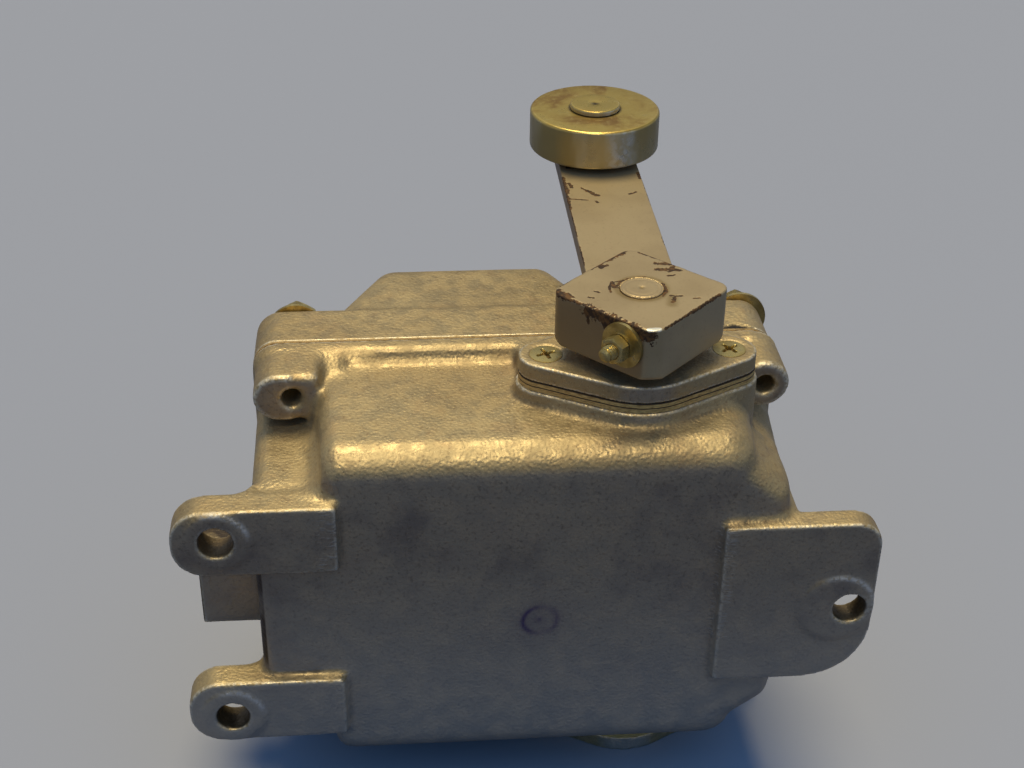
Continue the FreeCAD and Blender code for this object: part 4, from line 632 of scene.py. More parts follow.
# Marks on the castings. Zones are left, right, low and high
# Painted shade in the lug bores: its spare width, edge and depth
BORE_SPARE, BORE_EDGE, BORE_DEEP = 0.35 * MM, 0.5 * MM, 14 * MM
NICK_ZONES = (
    (-0.1050, -0.1000, 0.1000, 0.1235),
    (-0.1035, -0.0985, 0.0440, 0.0545),
    (0.0235, 0.0285, 0.0660, 0.1110),
)
# Painted highlight on the lug rings: its width, depth, and the angles where it lies and fades
HIGHLIGHT_WIDTH, HIGHLIGHT_DEEP = 0.7 * MM, 2.5 * MM
HIGHLIGHT_FROM, HIGHLIGHT_TO, HIGHLIGHT_FADE = 25, 95, 25
# The left side between the lugs, painted shade with grime: its heights, right edge and depth
SHADE_GRIME_LOW, SHADE_GRIME_HIGH, SHADE_GRIME_FADE = MIDDLE - 17 * MM, MIDDLE + 22 * MM, 6 * MM
SHADE_GRIME_RIGHT, SHADE_GRIME_BACK = -116.5 * MM, 18 * MM
SMUDGE_PLACE = (-0.0339, 0.0740)
SMUDGE_RING, SMUDGE_LINE, SMUDGE_DOT, SMUDGE_HAZE = 5.6 * MM, 0.9 * MM, 1.3 * MM, 9 * MM
GAP_LEFT, GAP_PEAK, GAP_RIGHT = 0.0300, 0.0395, 0.0470
GAP_RISE, GAP_SINK = 3.8 * MM, 0.5 * MM
GAP_FOOT = MIDDLE + 52 * MM


def ring_value(away, radius, width):
    """1 on a circle, falling off over about a width on both sides."""
    return np.exp(-((away - radius) / width) ** 2)


def housing_marks(data, places, normals):
    """Painted shade in the bores, nicks beside the lugs, highlights painted on the rings, grimy painted
    shade at the entry and an ink mark.
    """
    x, y, z = places.T
    # Painted shade: the lug bores are dark inside
    bore = np.zeros(len(places))
    for hole_x, hole_z in LUG_HOLES:
        away = np.hypot(x - hole_x, z - hole_z)
        bore = np.maximum(bore, np.clip((LUG_BORE + BORE_SPARE - away) / BORE_EDGE, 0, 1))
    store(data, "bore", bore * inside(y, LUG_FACE, LUG_FACE + BORE_DEEP, MM))
    nicks = np.zeros(len(places))
    for left, right, low, high in NICK_ZONES:
        nicks = np.maximum(nicks, inside(x, left, right, MM) * inside(z, low, high, MM))
    store(data, "nicks", nicks * (normals[:, 1] < -0.5))
    # Painted highlight on the upper arcs of the rings, the side that the light falls on
    ring_highlight = np.zeros(len(places))
    for ring_x, ring_z, radius in LUG_RINGS:
        away = np.hypot(x - ring_x, z - ring_z)
        turn = np.degrees(np.arctan2(z - ring_z, x - ring_x))
        lit = inside(turn, HIGHLIGHT_FROM, HIGHLIGHT_TO, HIGHLIGHT_FADE)
        ring_highlight = np.maximum(ring_highlight, ring_value(away, radius, HIGHLIGHT_WIDTH) * lit)
    store(data, "ring_highlight", ring_highlight * (y < LUG_FACE + HIGHLIGHT_DEEP) * 0.8)
    # Painted shade with grime on the left side between the lugs
    side = inside(z, SHADE_GRIME_LOW, SHADE_GRIME_HIGH, SHADE_GRIME_FADE) * np.clip((SHADE_GRIME_RIGHT - x) / MM, 0, 1)
    store(data, "shade_and_grime", side * (np.abs(normals[:, 1]) < 0.8) * inside(y, LUG_FACE, SHADE_GRIME_BACK, MM))
    away = np.hypot(x - SMUDGE_PLACE[0], z - SMUDGE_PLACE[1]) + lumps(places, 6 * MM) * 0.8 * MM
    ink = ring_value(away, SMUDGE_RING, SMUDGE_LINE) + 0.8 * ring_value(away, 0.0, SMUDGE_DOT)
    patch = np.clip(lumps(places, 7 * MM) * 0.8 + 0.75, 0, 1)
    haze = 0.16 * ring_value(away, 0.0, SMUDGE_HAZE)
    store(data, "smudge", np.clip((ink * 0.8 * patch + haze) * (normals[:, 1] < -0.6), 0, 1))


def cover_marks(data, places, normals):
    """The cover's front edge lifts off the gasket in a thin wedge beside the hub."""
    x, y, z = places.T
    rise = np.interp(x, (GAP_LEFT, GAP_PEAK, GAP_RIGHT), (0.0, GAP_RISE, 0.0), left=0.0, right=0.0)
    depth = y - COVER_FRONT
    gap = (rise > 0) * np.clip((rise - depth) / (0.5 * MM) + 0.3, 0, 1) * (z > GAP_FOOT)
    store(data, "gap", gap)
    move_vertices(data, places - normals * (gap * GAP_SINK)[:, None])


def hull(points):
    """The smallest convex mesh around points in millimetres."""
    work = bmesh.new()
    for point in points:
        work.verts.new([level * MM for level in point])
    bmesh.ops.convex_hull(work, input=work.verts)
    bmesh.ops.recalc_face_normals(work, faces=work.faces)
    data = bpy.data.meshes.new("hull")
    work.to_mesh(data)
    work.free()
    return data


# Fills of the housing's skin, in millimetres. The cove between rim and box: its back, the box's
# top, its size and ends. The ground beside the corner bosses: its ends, and its outline as Y and
# height above the middle
STEP_BACK, BOX_TOP, STEP_FILL = 22.0, 140.5, 4.2
STEP_LEFT, STEP_RIGHT = -104.0, -39.0
COVE_SINK, COVE_STEPS = 1.0, 5
BOSS_LEFT, BOSS_RIGHT = -107.0, -97.5
GROUND = ((-6.0, 50.0), (22.0, 50.0), (22.0, 66.5), (18.0, 65.5), (12.0, 61.5), (4.0, 56.0), (-6.0, 51.5))
# The web between box and body at the right: corners as X and height above the middle. Rows of Y
# and inset round its front, at corners past WEB_LEFT and WEB_FOOT
WEB_CORNERS = ((24, 28.5), (24, 54), (35, 54), (47.4, 44.5), (48.4, 40), (48.4, 28.5))
WEB_ROUND = ((-36.6, 5), (-35.6, 3), (-33.2, 1.2), (-29, 0.2), (-24, 0), (-6, 0))
WEB_LEFT, WEB_FOOT = 24, 28.5


def step_fills():
    """Soft ground between the rim, the corner bosses and the box, above and below."""
    fills = []
    mid = MIDDLE / MM
    top = BOX_TOP - mid
    for side in (1, -1):
        cove = [(STEP_BACK, top - COVE_SINK), (STEP_BACK - STEP_FILL, top - COVE_SINK)]
        for step in range(COVE_STEPS + 1):
            turn = math.pi / 2 * step / COVE_STEPS
            y = STEP_BACK - STEP_FILL * (1 - math.sin(turn))
            cove.append((y, top + STEP_FILL * (1 - math.cos(turn))))
        fills.append(bar([(y, mid + side * z) for y, z in cove], STEP_LEFT, STEP_RIGHT))
        fills.append(bar([(y, mid + side * z) for y, z in GROUND], BOSS_LEFT, BOSS_RIGHT))
        web = []
        for y, inset in WEB_ROUND:
            for x, z in WEB_CORNERS:
                web.append((x - inset * (x > WEB_LEFT), y, mid + side * (z - inset * (z > WEB_FOOT))))
        fills.append(hull(web))
    return fills


# Boxes, in millimetres, in which the housing's skin is smoothed further, and how often
EASED = (
    ((-112, -10, 124), (-88, 24, 148), 26),
    ((-112, -10, 7), (-88, 24, 31), 26),
    ((-92, 14, 138), (-36, 21, 146), 8),
    ((28, -37, 112), (50, -12, 142), 20),
    ((28, -37, 13), (50, -12, 43), 20),
    ((-126, -33, 96), (-98, -20, 128), 10),
    ((-106, -39, 97), (-93, -27, 128), 12),
    ((-106, -39, 27), (-93, -27, 58), 12),
    ((20, -39, 40), (29, -27, 115), 12),
    ((-30, -31, 136), (32, -13, 144), 14),
    ((-30, -31, 11), (32, -13, 19), 14),
)


SEAM_REACH = 1.6 * MM
PLATE_REACH = 0.8 * MM


def make_castings():
    """Skins of the two castings and the two flanges."""
    joint = [(1, HOUSING_HIGH.y, SEAM_REACH)]
    cast_skin("housing", seams=joint, fills=step_fills(), eased=EASED, marks=housing_marks)
    cast_skin("cover", seams=[(1, COVER_FRONT, SEAM_REACH)], marks=cover_marks)
    plate = [(2, PLATE_LOW, PLATE_REACH)]
    cast_skin("bearing_flange", voxel=FLANGE_VOXEL, passes=FLANGE_PASSES, seams=plate)
    cast_skin("bottom_flange", voxel=FLANGE_VOXEL, passes=FLANGE_PASSES)


# Painted lever: its chips and stains are strokes, in millimetres

HUB_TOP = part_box("lever_hub")[1].z / MM
ARM_TOP = ARM_HIGH.z / MM
ARC_STEP = 20


def strokes(top, *rows):
    """Strokes from rows of X, Y, X, Y, half a width and, if not 0, the depths of both ends."""
    made = []
    for x, y, to_x, to_y, reach, *depths in rows:
        depth, to_depth = depths or (0.0, 0.0)
        made.append(((x, y, top - depth), (to_x, to_y, top - to_depth), reach))
    return tuple(made)


def arc(radius, first, last, reach):
    """Strokes on the hub's top around the shaft, from one angle to another."""
    steps = max(2, round(abs(last - first) / ARC_STEP))
    turns = [math.radians(first + (last - first) * step / steps) for step in range(steps + 1)]
    places = [(radius * math.cos(turn), radius * math.sin(turn), HUB_TOP) for turn in turns]
    return tuple((start, end, reach) for start, end in zip(places, places[1:]))


HUB_CHIPS = strokes(
    HUB_TOP,
    (-27.2, 0.0, -24.5, -4.0, 1.5), (-26.6, 3.4, -23.8, 5.9, 0.8),
    (-24.0, -1.8, -22.4, -4.6, 0.5), (-24.5, -5.2, -18.8, -10.9, 0.8),
    (-18.8, -10.9, -13.0, -16.7, 2.2, 1.5, 2.0),
    (-13.0, -16.7, -6.0, -23.7, 2.0, 1.6, 1.8), (-6.0, -23.7, -1.2, -28.3, 2.0, 1.8, 2.8),
    (-18.4, -11.3, -18.4, -11.3, 0.6, 3.0, 5.6),
    (-13.6, -16.1, -13.6, -16.1, 0.8, 3.0, 5.0), (-0.4, -28.6, -0.6, -28.6, 0.8, 3.0, 5.4),
    (-0.9, -28.5, -0.6, -28.6, 0.6, 7.6, 9.4),
    (3.6, -26.1, 13.0, -16.7, 0.5, 0.3, 0.2), (13.0, -16.7, 24.6, -5.1, 0.7, 0.2, 0.2),
    (-26.4, 3.6, -17.6, 12.2, 0.5), (-14.6, 15.1, -9.0, 20.7, 1.1), (-12.0, 17.0, -10.6, 16.6, 0.6),
    (-9.0, 20.7, -2.4, 26.6, 1.5), (-11.4, 15.4, -9.4, 16.6, 0.9), (3.4, 25.6, 9.0, 20.7, 0.9),
    (7.0, 17.4, 12.6, 16.4, 0.9), (6.4, 13.2, 14.2, 12.4, 0.9), (10.8, 11.4, 12.6, 14.8, 0.6),
    (9.2, 20.4, 14.0, 15.6, 0.8), (10.0, 8.4, 12.0, 8.8, 0.5), (17.0, 12.7, 24.0, 5.7, 0.6),
    (-8.6, 5.0, -8.8, 1.2, 0.55), (-8.8, 1.2, -6.4, 1.0, 0.4), (-6.6, 5.4, -8.6, 5.0, 0.35),
    (-3.0, 7.4, 2.6, 8.2, 0.3), (7.6, 2.6, 8.0, -1.6, 0.4), (6.0, -5.2, 7.8, -2.4, 0.4),
    (-15.4, -0.8, -14.0, -1.8, 0.4), (-17.6, -4.8, -16.2, -5.4, 0.4), (8.4, -5.2, 12.2, -5.6, 0.5),
    (9.6, -6.0, 8.6, -9.4, 0.7), (15.4, -7.4, 17.6, -7.2, 0.4),
) + arc(7.7, 25, -35, 0.45) + arc(8.0, 115, 165, 0.4) + arc(10.4, 150, 190, 0.45)
HUB_BARE = strokes(HUB_TOP, (-1.6, -26.6, 1.6, -26.6, 0.9))
HUB_STAINS = strokes(HUB_TOP, (9.0, -6.0, 8.0, -11.0, 2.0), (0.0, 0.0, 0.0, 0.1, 8.5))
HUB_STAINS += arc(8.2, 0, 360, 1.1)
ARM_CHIPS = strokes(
    ARM_TOP,
    (-14.8, 102.0, -14.4, 88.0, 0.9), (-14.9, 88.0, -14.8, 74.0, 0.75),
    (-15.0, 74.0, -15.0, 52.0, 0.4), (-15.0, 44.0, -15.0, 30.0, 0.45),
    (-12.9, 96.6, -12.2, 92.8, 0.6), (-8.8, 92.4, -6.8, 89.6, 0.5), (-6.8, 89.6, -3.8, 85.4, 0.95),
    (-13.8, 82.9, -7.6, 81.6, 0.35), (-4.6, 80.4, -4.2, 79.4, 0.6), (8.4, 86.0, 11.2, 87.8, 0.45),
    (14.2, 104.6, 14.4, 99.8, 0.75), (15.0, 98.0, 15.0, 76.0, 0.25), (15.0, 50.0, 15.0, 44.0, 0.45),
    (-12.0, 111.0, 11.0, 112.0, 0.8),
)


def stroke_value(places, strokes):
    """1 on the middle line of a stroke, a half at its edge, 0 at twice its half width."""
    value = np.zeros(len(places))
    for start, end, reach in strokes:
        first, last = np.array(start) * MM, np.array(end) * MM
        line = last - first
        along = np.clip((places - first) @ line / (line @ line), 0.0, 1.0)
        away = np.linalg.norm(places - first - along[:, None] * line, axis=1)
        value = np.maximum(value, 1.0 - 0.5 * away / (reach * MM))
    return value


CHIP_DEPTH = 0.10 * MM


def painted_skin(name, chips, bare=(), stains=()):
    """Replace a painted steel node: eased edges, and chips sunk to the steel."""
    skin, places, _, _ = smoothed(name, SHEET_VOXEL, 2)
    data = skin.data
    ragged = lumps(places, 1.5 * MM) * 0.26 + lumps(places, 0.7 * MM) * 0.14
    chip = stroke_value(places, chips)
    chip = np.clip(chip + ragged * (chip > 0.05), 0, 1)
    sunk = np.clip((chip - 0.45) / 0.2, 0, 1) * CHIP_DEPTH
    move_vertices(data, places - vertex_normals(data) * sunk[:, None])
    store(data, "chip", chip)
    store(data, "bare", stroke_value(places, bare) + ragged * 0.5)
    store(data, "stain", stroke_value(places, stains))
    take_over(skin, name, "lever", "paint")


# The shaft's end, in millimetres: its wear, its turned groove and centre punch as radius, width
# and depth, and its bevel as start, width and slope
SHAFT_WORN = 0.5
GROOVE_RADIUS, GROOVE_WIDTH, GROOVE_DEPTH = 5.3, 0.45, 0.12
PUNCH_WIDTH, PUNCH_DEPTH = 0.9, 0.35
BEVEL_START, BEVEL_WIDTH, BEVEL_SLOPE = 6.4, 0.6, 0.4
GROOVE_STAIN, PUNCH_STAIN = 0.35, 1.1


def shaft_skin():
    """The painted shaft end: bevelled rim, turned groove and centre punch."""
    skin, places, _, _ = smoothed("shaft", SHEET_VOXEL, 1)
    radius = np.hypot(places[:, 0], places[:, 1]) / MM
    top = places[:, 2] > SHAFT_TOP - 0.4 * MM
    drop = SHAFT_WORN + GROOVE_DEPTH * ring_value(radius, GROOVE_RADIUS, GROOVE_WIDTH)
    drop = drop + PUNCH_DEPTH * ring_value(radius, 0.0, PUNCH_WIDTH)
    drop = drop + BEVEL_SLOPE * np.clip(radius - BEVEL_START, 0, BEVEL_WIDTH)
    places[:, 2] -= drop * top * MM
    move_vertices(skin.data, places)
    stain = 0.5 * ring_value(radius, GROOVE_RADIUS, GROOVE_STAIN)
    store(skin.data, "stain", (stain + ring_value(radius, 0.0, PUNCH_STAIN)) * top)
    take_over(skin, "shaft", "lever", "paint")


# Turned and hexagon pieces

TURNS = 72
WELD = 1e-7
UP, DOWN, BACK = (0, 0, 1), (0, 0, -1), (0, 1, 0)


def angles_of(turns):
    """The angles of all steps of one full turn."""
    return np.arange(turns) * (2 * math.pi / turns)


def spun(name, rows, turns=TURNS, closed=False, sharp=35):
    """Surface turned about Z. A row is radius and height, each one value or one per step."""
    angles = angles_of(turns)
    points = []
    for radius, height in rows:
        reach, level = np.broadcast_to(radius, turns), np.broadcast_to(height, turns)
        points.append(np.stack([reach * np.cos(angles), reach * np.sin(angles), level], 1))
    count = len(rows)
    faces = []
    for row in range(count if closed else count - 1):
        for step in range(turns):
            after = (step + 1) % turns
            low, high = row * turns, (row + 1) % count * turns
            faces.append((low + step, low + after, high + after, high + step))
    data = bpy.data.meshes.new(name)
    data.from_pydata(np.concatenate(points).tolist(), [], faces)
    face_outwards(data, WELD)
    data.shade_smooth()
    data.set_sharp_from_angle(angle=math.radians(sharp))
    return data


def stand(data, place, axis, turn=0.0):
    """Move a mesh made along Z to a place, along an axis, turned about itself."""
    swing = Vector(UP).rotation_difference(Vector(axis)).to_matrix().to_4x4()
    data.transform(Matrix.Translation(place) @ swing @ Matrix.Rotation(turn, 4, "Z"))
    return data


def fit_zinc(name, meshes, node, body):
    """A zinc-plated piece of several meshes, in place of a node."""
    take_over(put(name, merged(meshes)), node, body, "zinc")


# Hexagons: radius of the crown as a share of the flats, and slope of the cone that cuts corners
CROWN_SHARE = 0.475
CROWN_SLOPE = math.tan(math.radians(30))
# Thread: depth, and end of its crest, flank and root, as shares of the pitch
THREAD_DEPTH, CREST_END, FLANK_END, ROOT_END = 0.55, 0.2, 0.55, 0.7


def hexagon(flats):
    """Distance from the axis to the sides of a hexagon, one value per step, corner first."""
    return flats / 2 / np.cos(angles_of(TURNS) % (math.pi / 3) - math.pi / 6)


def chamfered(flats, height):
    """Rows of a hexagon head on its seat, its corners cut by a cone."""
    side = hexagon(flats)
    crown = flats * CROWN_SHARE
    return [(side, 0.0), (side, height - (side - crown) * CROWN_SLOPE), (crown, height)]


def thread(radius, low, high, pitch):
    """Rows of a screw thread drawn as rings."""
    root = radius - pitch * THREAD_DEPTH
    rows = []
    for turn in range(int((high - low) / pitch)):
        start = low + turn * pitch
        rows += [(radius, start), (radius, start + pitch * CREST_END)]
        rows += [(root, start + pitch * FLANK_END), (root, start + pitch * ROOT_END)]
    return rows


BOLT_FLATS = 13 * MM
BOLT_HEAD = 5.5 * MM
BOLT_RADIUS = 4 * MM
BOLT_DISH = 0.3 * MM
WASHER_RADIUS = 10 * MM
WASHER_THICK = 1.6 * MM
WASHER_EASE = 0.35 * MM


def bolt_places():
    """X and Z of the cover bolts."""
    low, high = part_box("cover_bolts")
    flat = BOLT_FLATS / 2
    corner = flat / math.cos(math.pi / 6)
    return [(x, z) for x in (low.x + flat, high.x - flat) for z in (low.z + corner, high.z - corner)]


def cover_bolts():
    """Hexagon bolts with a shallow dish in the head."""
    low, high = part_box("cover_bolts")
    seat = high.y - BOLT_HEAD
    length = seat - low.y
    dish = BOLT_HEAD - BOLT_DISH
    rows = [(0.0, -length), (BOLT_RADIUS * 0.85, -length), (BOLT_RADIUS, BOLT_RADIUS * 0.2 - length)]
    rows += [(BOLT_RADIUS, 0.0), *chamfered(BOLT_FLATS, BOLT_HEAD)]
    rows += [(BOLT_FLATS * 0.36, BOLT_HEAD), (BOLT_FLATS * 0.34, dish), (0.0, dish)]
    quarter = math.pi / 2
    meshes = [stand(spun("bolt", rows), (x, seat, z), BACK, quarter) for x, z in bolt_places()]
    fit_zinc("cover_bolt_set", meshes, "cover_bolts", "case")


def cover_washers():
    """Plain washers under the cover bolts, with eased edges."""
    bore = BOLT_RADIUS * 1.05
    rows = [(bore, 0.0), (WASHER_RADIUS, 0.0), (WASHER_RADIUS, WASHER_THICK - WASHER_EASE)]
    rows += [(WASHER_RADIUS - WASHER_EASE, WASHER_THICK), (bore, WASHER_THICK)]
    places = [(x, COVER_SEAT, z) for x, z in bolt_places()]
    meshes = [stand(spun("washer", rows, closed=True), place, BACK) for place in places]
    fit_zinc("cover_washer_set", meshes, "cover_washers", "case")


SCREW_RADIUS = 5.7 * MM
SCREW_SHANK = 3 * MM
SCREW_TURNS, SCREW_ROWS = 144, 30
SCREW_DOME = 0.25 * MM
SCREW_EDGE, SCREW_CONE = (0.5 * MM, 0.7 * MM), 2.9 * MM
# The cross recess: reach of its arms, half their width, their depth and its slope, the wider
# middle, and the widths over which the arms' ends and sides fall off
RECESS_REACH, RECESS_HALF, RECESS_DEEP, RECESS_SLOPE = 3.35 * MM, 0.67 * MM, 1.9 * MM, 0.32
RECESS_MIDDLE, RECESS_WIDEN = 1.5 * MM, 0.8
RECESS_END, RECESS_SIDE = 0.5 * MM, 0.3 * MM
# Depth below which a cross recess is painted dark as shade
RECESS_SHADE_DEPTH = 1.0 * MM


def cross_screw_rows(length):
    """Countersunk screw with a worn cross recess, its head's top at height 0."""
    angles = angles_of(SCREW_TURNS)
    rows = []
    for step in range(SCREW_ROWS + 1):
        radius = SCREW_RADIUS * 0.94 * step / SCREW_ROWS
        across = np.minimum(np.abs(np.cos(angles)), np.abs(np.sin(angles))) * radius
        reach = np.clip((RECESS_REACH - radius) / RECESS_END, 0, 1)
        wide = RECESS_HALF + np.clip(RECESS_MIDDLE - radius, 0, 1) * RECESS_WIDEN
        slot = np.clip((wide - across) / RECESS_SIDE, 0, 1) * reach
        depth = RECESS_DEEP - RECESS_SLOPE * radius
        rows.append((radius, -SCREW_DOME * (radius / SCREW_RADIUS) ** 2 - slot * depth))
    rows += [(SCREW_RADIUS * 0.96, -SCREW_EDGE[1]), (SCREW_RADIUS, -SCREW_EDGE[0])]
    rows += [(SCREW_SHANK, -SCREW_CONE), (SCREW_SHANK, -length), (0.0, -length)]
    return rows


def flange_screws(name, node, level, axis, recess_turns):
    """Two screws with their heads' tops at a level, each recess turned by its own angle."""
    low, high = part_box(node)
    middle_y = (low.y + high.y) / 2
    rows = cross_screw_rows(high.z - low.z)
    meshes = []
    for x, turn in zip((low.x + SCREW_RADIUS, high.x - SCREW_RADIUS), recess_turns):
        data = spun("screw", rows, turns=SCREW_TURNS, sharp=50)
        places = mesh_arrays(data)[0]
        rim = np.hypot(places[:, 0], places[:, 1]) > SCREW_RADIUS * 0.95
        # Dark at the head's rim joint, and painted shade deep in the cross recess
        store(data, "dirt_and_shade", np.maximum(rim, places[:, 2] < -RECESS_SHADE_DEPTH) * 0.85)
        meshes.append(stand(data, (x, middle_y, level), axis, turn))
    fit_zinc(name, meshes, node, "case")


# The clamp's pin and nut, along the diagonal of the hub
CLAMP = Vector((-1, -1, 0)).normalized()
NUT_FLATS, NUT_THICK = 8 * MM, 4 * MM
NUT_TURN = math.radians(45)
NUT_EASE = 0.3 * MM
STUD_RADIUS, STUD_LENGTH, STUD_PITCH = 2.5 * MM, 10.5 * MM, 0.8 * MM
LOCK_THICK, PLAIN_THICK = 1.2 * MM, 1.2 * MM
PIN_RADIUS, PIN_LENGTH, PIN_CAP = 4 * MM, 42 * MM, 3 * MM


def cotter_set():
    """The clamp's nut and its threaded pin. Its washers stay as the solids are."""
    centre = (NUT_LOW + NUT_HIGH) / 2
    nut_seat = centre - CLAMP * (NUT_THICK / 2)
    face = nut_seat - CLAMP * (LOCK_THICK + PLAIN_THICK)
    bore = STUD_RADIUS * 0.98
    foot = NUT_FLATS * CROWN_SHARE
    side = hexagon(NUT_FLATS)
    rows = [(bore, 0.0), (foot, 0.0), (side, (side - foot) * CROWN_SLOPE)]
    rows += chamfered(NUT_FLATS, NUT_THICK)[1:]
    rows += [(bore + NUT_EASE, NUT_THICK), (bore, NUT_THICK - NUT_EASE)]
    nut = stand(spun("nut", rows, closed=True), nut_seat, CLAMP, NUT_TURN)
    fit_zinc("clamp_nut", [nut], "cotter_nut", "lever")
    cap = PIN_LENGTH + PIN_CAP
    rows = [(0.0, -cap), (PIN_RADIUS * 1.2, -cap), (PIN_RADIUS * 1.35, PIN_CAP * 0.2 - cap)]
    rows += [(PIN_RADIUS * 1.35, -PIN_LENGTH), (PIN_RADIUS, -PIN_LENGTH), (PIN_RADIUS, 0.0)]
    rows += [(STUD_RADIUS, 0.0)]
    rows += thread(STUD_RADIUS, 0.2 * MM, STUD_LENGTH - 0.9 * MM, STUD_PITCH)
    rows += [(STUD_RADIUS * 0.9, STUD_LENGTH - 0.7 * MM), (STUD_RADIUS * 0.62, STUD_LENGTH - 0.15 * MM)]
    rows += [(STUD_RADIUS * 0.3, STUD_LENGTH), (0.0, STUD_LENGTH - 0.1 * MM)]
    pin = stand(spun("pin", rows, sharp=50), face, CLAMP)
    fit_zinc("clamp_pin", [pin], "cotter_pin", "lever")


HEAD_RADIUS, HEAD_THICK, HEAD_EDGE = 9.5 * MM, 2.8 * MM, 0.7 * MM
PIN_WORN = 1.0 * MM
PIVOT_RADIUS = 6 * MM
RIVET_DEPTH = 2 * MM
ROLLER_EDGE = 1.2 * MM
ROLLER_BORE = 8 * MM
ROLLER_MIDDLE = (ROLLER_LOW + ROLLER_HIGH) / 2
RIM_ROWS = (0.3, 0.5, 0.7)
# In millimetres: rings on the roller's face outside the pin's head, and the head's punched
# middle as radius and depth
FACE_ROWS = (6, 3, 1.2, 0.2)
HEAD_ROWS = ((6, 0), (4, 0.05), (2.0, 0.08), (1.3, 0.25), (0.5, 0.4), (0, 0.42))
JOINT_DIRT, PUNCH_DIRT = 0.5 * MM, 1.6 * MM
EDGE_STEPS = 5


def rounded_corner(radius, height, size, upward):
    """Rows of a quarter-round edge where a round side meets a face at a height."""
    rows = []
    for step in range(EDGE_STEPS + 1):
        turn = math.pi / 2 * step / EDGE_STEPS
        across = size * (1 - math.cos(turn))
        down = size * (1 - math.sin(turn))
        rows.append((radius - across, height - upward * down))
    return rows


def from_roller_axis(data):
    """The places of a mesh, and how far each is from the roller's axis."""
    places = mesh_arrays(data)[0]
    return places, np.hypot(places[:, 0] - ROLLER_MIDDLE.x, places[:, 1] - ROLLER_MIDDLE.y)


def roller_wheel():
    """Roller with rolled edges and a dark joint around the pin's head."""
    rim = (ROLLER_HIGH.x - ROLLER_LOW.x) / 2
    thick = ROLLER_HIGH.z - ROLLER_LOW.z
    rows = [(ROLLER_BORE, 0.0)]
    rows += rounded_corner(rim, 0.0, ROLLER_EDGE, -1)[::-1]
    rows += [(rim, thick * share) for share in RIM_ROWS]
    rows += rounded_corner(rim, thick, ROLLER_EDGE, 1)
    rows += [(HEAD_RADIUS + away * MM, thick) for away in FACE_ROWS] + [(ROLLER_BORE, thick)]
    foot = (ROLLER_MIDDLE.x, ROLLER_MIDDLE.y, ROLLER_LOW.z)
    wheel = stand(spun("roller", rows, turns=128, closed=True), foot, UP)
    wheel = put("roller_wheel", merged([wheel]))
    away = from_roller_axis(wheel.data)[1]
    store(wheel.data, "dirt_and_shade", (np.abs(away - HEAD_RADIUS) < JOINT_DIRT) * 0.9)
    take_over(wheel, "roller", "roller", "roller")


def roller_pivot():
    """The roller's pin, riveted under the arm, with a punched head."""
    top = PIN_HIGH.z - PIN_LOW.z - PIN_WORN
    head_low = top + PIN_WORN - HEAD_THICK
    arm_low, arm_high = ARM_LOW.z - PIN_LOW.z, ARM_HIGH.z - PIN_LOW.z
    rows = [(0.0, 0.0), (PIVOT_RADIUS + RIVET_DEPTH / 2, 0.0), (PIVOT_RADIUS + RIVET_DEPTH, RIVET_DEPTH)]
    rows += [(PIVOT_RADIUS - MM, arm_low), (PIVOT_RADIUS - MM, arm_high), (PIVOT_RADIUS, arm_high)]
    rows += [(PIVOT_RADIUS, head_low), (HEAD_RADIUS, head_low)]
    rows += rounded_corner(HEAD_RADIUS, top, HEAD_EDGE, 1)
    rows += [(radius * MM, top - depth * MM) for radius, depth in HEAD_ROWS]
    foot = (ROLLER_MIDDLE.x, ROLLER_MIDDLE.y, PIN_LOW.z)
    pivot = put("roller_pivot", merged([stand(spun("pivot", rows, turns=96), foot, UP)]))
    places, away = from_roller_axis(pivot.data)
    on_top = places[:, 2] > PIN_HIGH.z - 1.5 * MM - PIN_WORN
    store(pivot.data, "dirt_and_shade", np.clip(1.25 - away / PUNCH_DIRT, 0, 0.95) * on_top)
    take_over(pivot, "roller_pin", "lever", "roller")


# Floor, light and camera

def make_floor():
    """A plain pale floor, darker for the light that it sends back to the part."""
    data = bpy.data.meshes.new("floor")
    corners = [(x * FLOOR_HALF, y * FLOOR_HALF, 0) for x, y in ((-1, -1), (1, -1), (1, 1), (-1, 1))]
    data.from_pydata(corners, [], [(0, 1, 2, 3)])
    floor = put("floor", data)
    s = Shader("floor_sheet")
    cloudy = tuple(c * FLOOR_CLOUD for c in FLOOR_COLOUR)
    base = s.mix(s.noise(1.2, 2), (*FLOOR_COLOUR, 1.0), (*cloudy, 1.0))
    seen = s.node("LightPath", "Is Camera Ray")
    base = s.mix(seen, (*FLOOR_BOUNCE, 1.0), base)
    data.materials.append(s.finish(base, 0.75, specular=0.1))


def make_sun(name, level, lean, spread):
    """A far lamp, leaning back from straight above the part."""
    data = bpy.data.lights.new(name, "SUN")
    data.energy = level
    data.color = SUN_COLOUR
    data.angle = math.radians(spread)
    sun = put(name, data)
    sun.rotation_euler = (math.radians(-lean), math.radians(SUN_SIDE), 0)
    return sun


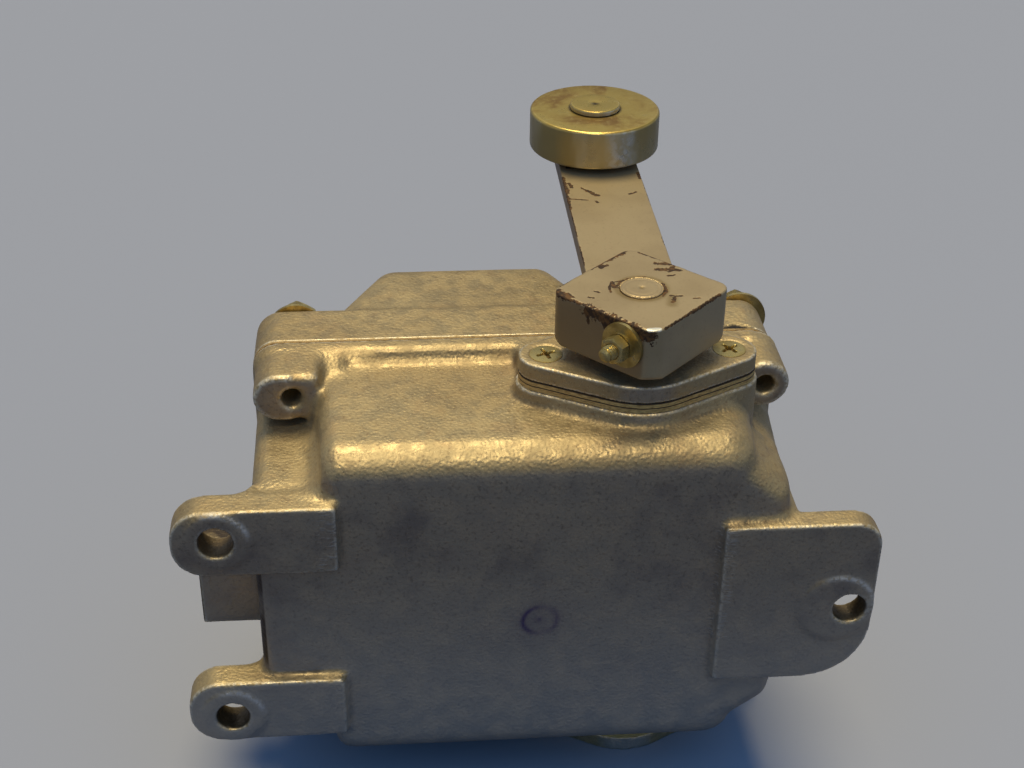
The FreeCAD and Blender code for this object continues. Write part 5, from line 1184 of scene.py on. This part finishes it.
def make_world():
    """Bluish room light, a plain backdrop and a varied room for reflections."""
    world = bpy.data.worlds.new("studio")
    g = Graph(world)
    shade = g.tree.nodes["Background"]
    g.fill(shade, {"Color": (*AMBIENT_COLOUR, 1.0), "Strength": AMBIENT_LEVEL})
    backdrop = g.node("Background", 0, {"Color": (*BACKDROP_COLOUR, 1.0)})
    way = g.node("TexCoord", "Generated")
    cloud = g.node("TexNoise", "Fac", {"Vector": way, "Scale": ROOM_SCALE})
    tones = g.node("ValToRGB", "Color", {"Fac": cloud})
    for step, edge, tone in zip(tones.node.color_ramp.elements, ROOM_EDGES, (ROOM_DARK, ROOM_PALE)):
        step.position = edge
        step.color = (*tone, 1.0)
    room = g.node("Background", 0, {"Color": tones})
    glossy = g.node("LightPath", "Is Glossy Ray")
    mirrored = g.node("MixShader", 0, {"Fac": glossy, 1: shade.outputs[0], 2: room})
    direct = g.node("LightPath", "Is Camera Ray")
    seen = g.node("MixShader", 0, {"Fac": direct, 1: mirrored, 2: backdrop})
    g.fill(g.tree.nodes["World Output"], {"Surface": seen})
    bpy.context.scene.world = world


def make_camera():
    """The photograph's camera."""
    data = bpy.data.cameras.new("camera")
    data.lens = CAMERA_LENS
    data.clip_start = CAMERA_NEAR
    data.clip_end = CAMERA_FAR
    camera = put("camera", data)
    camera.location = CAMERA_PLACE
    camera.rotation_euler = [math.radians(angle) for angle in CAMERA_TURN]
    bpy.context.scene.camera = camera


def make_studio():
    """Floor, world, camera, the window's light and a glint that shows only in reflections."""
    bpy.context.scene.view_settings.view_transform = "Standard"
    make_floor()
    make_world()
    make_camera()
    make_sun("window", SUN_LEVEL, SUN_LEAN, SUN_SPREAD)
    glint = make_sun("glint", GLINT_LEVEL, GLINT_LEAN, GLINT_SPREAD)
    glint.visible_diffuse = False


make_studio()
dress_solids()
make_castings()
painted_skin("lever_hub", HUB_CHIPS, HUB_BARE, HUB_STAINS)
painted_skin("lever_arm", ARM_CHIPS)
shaft_skin()
cover_bolts()
cover_washers()
flange_screws("flange_screw_set", "flange_screws", SCREW_TOP, UP, (0.35, 0.62))
flange_screws("bottom_screw_set", "bottom_screws", LOWER_SCREW_TOP, DOWN, (0.2, 0.9))
cotter_set()
roller_wheel()
roller_pivot()
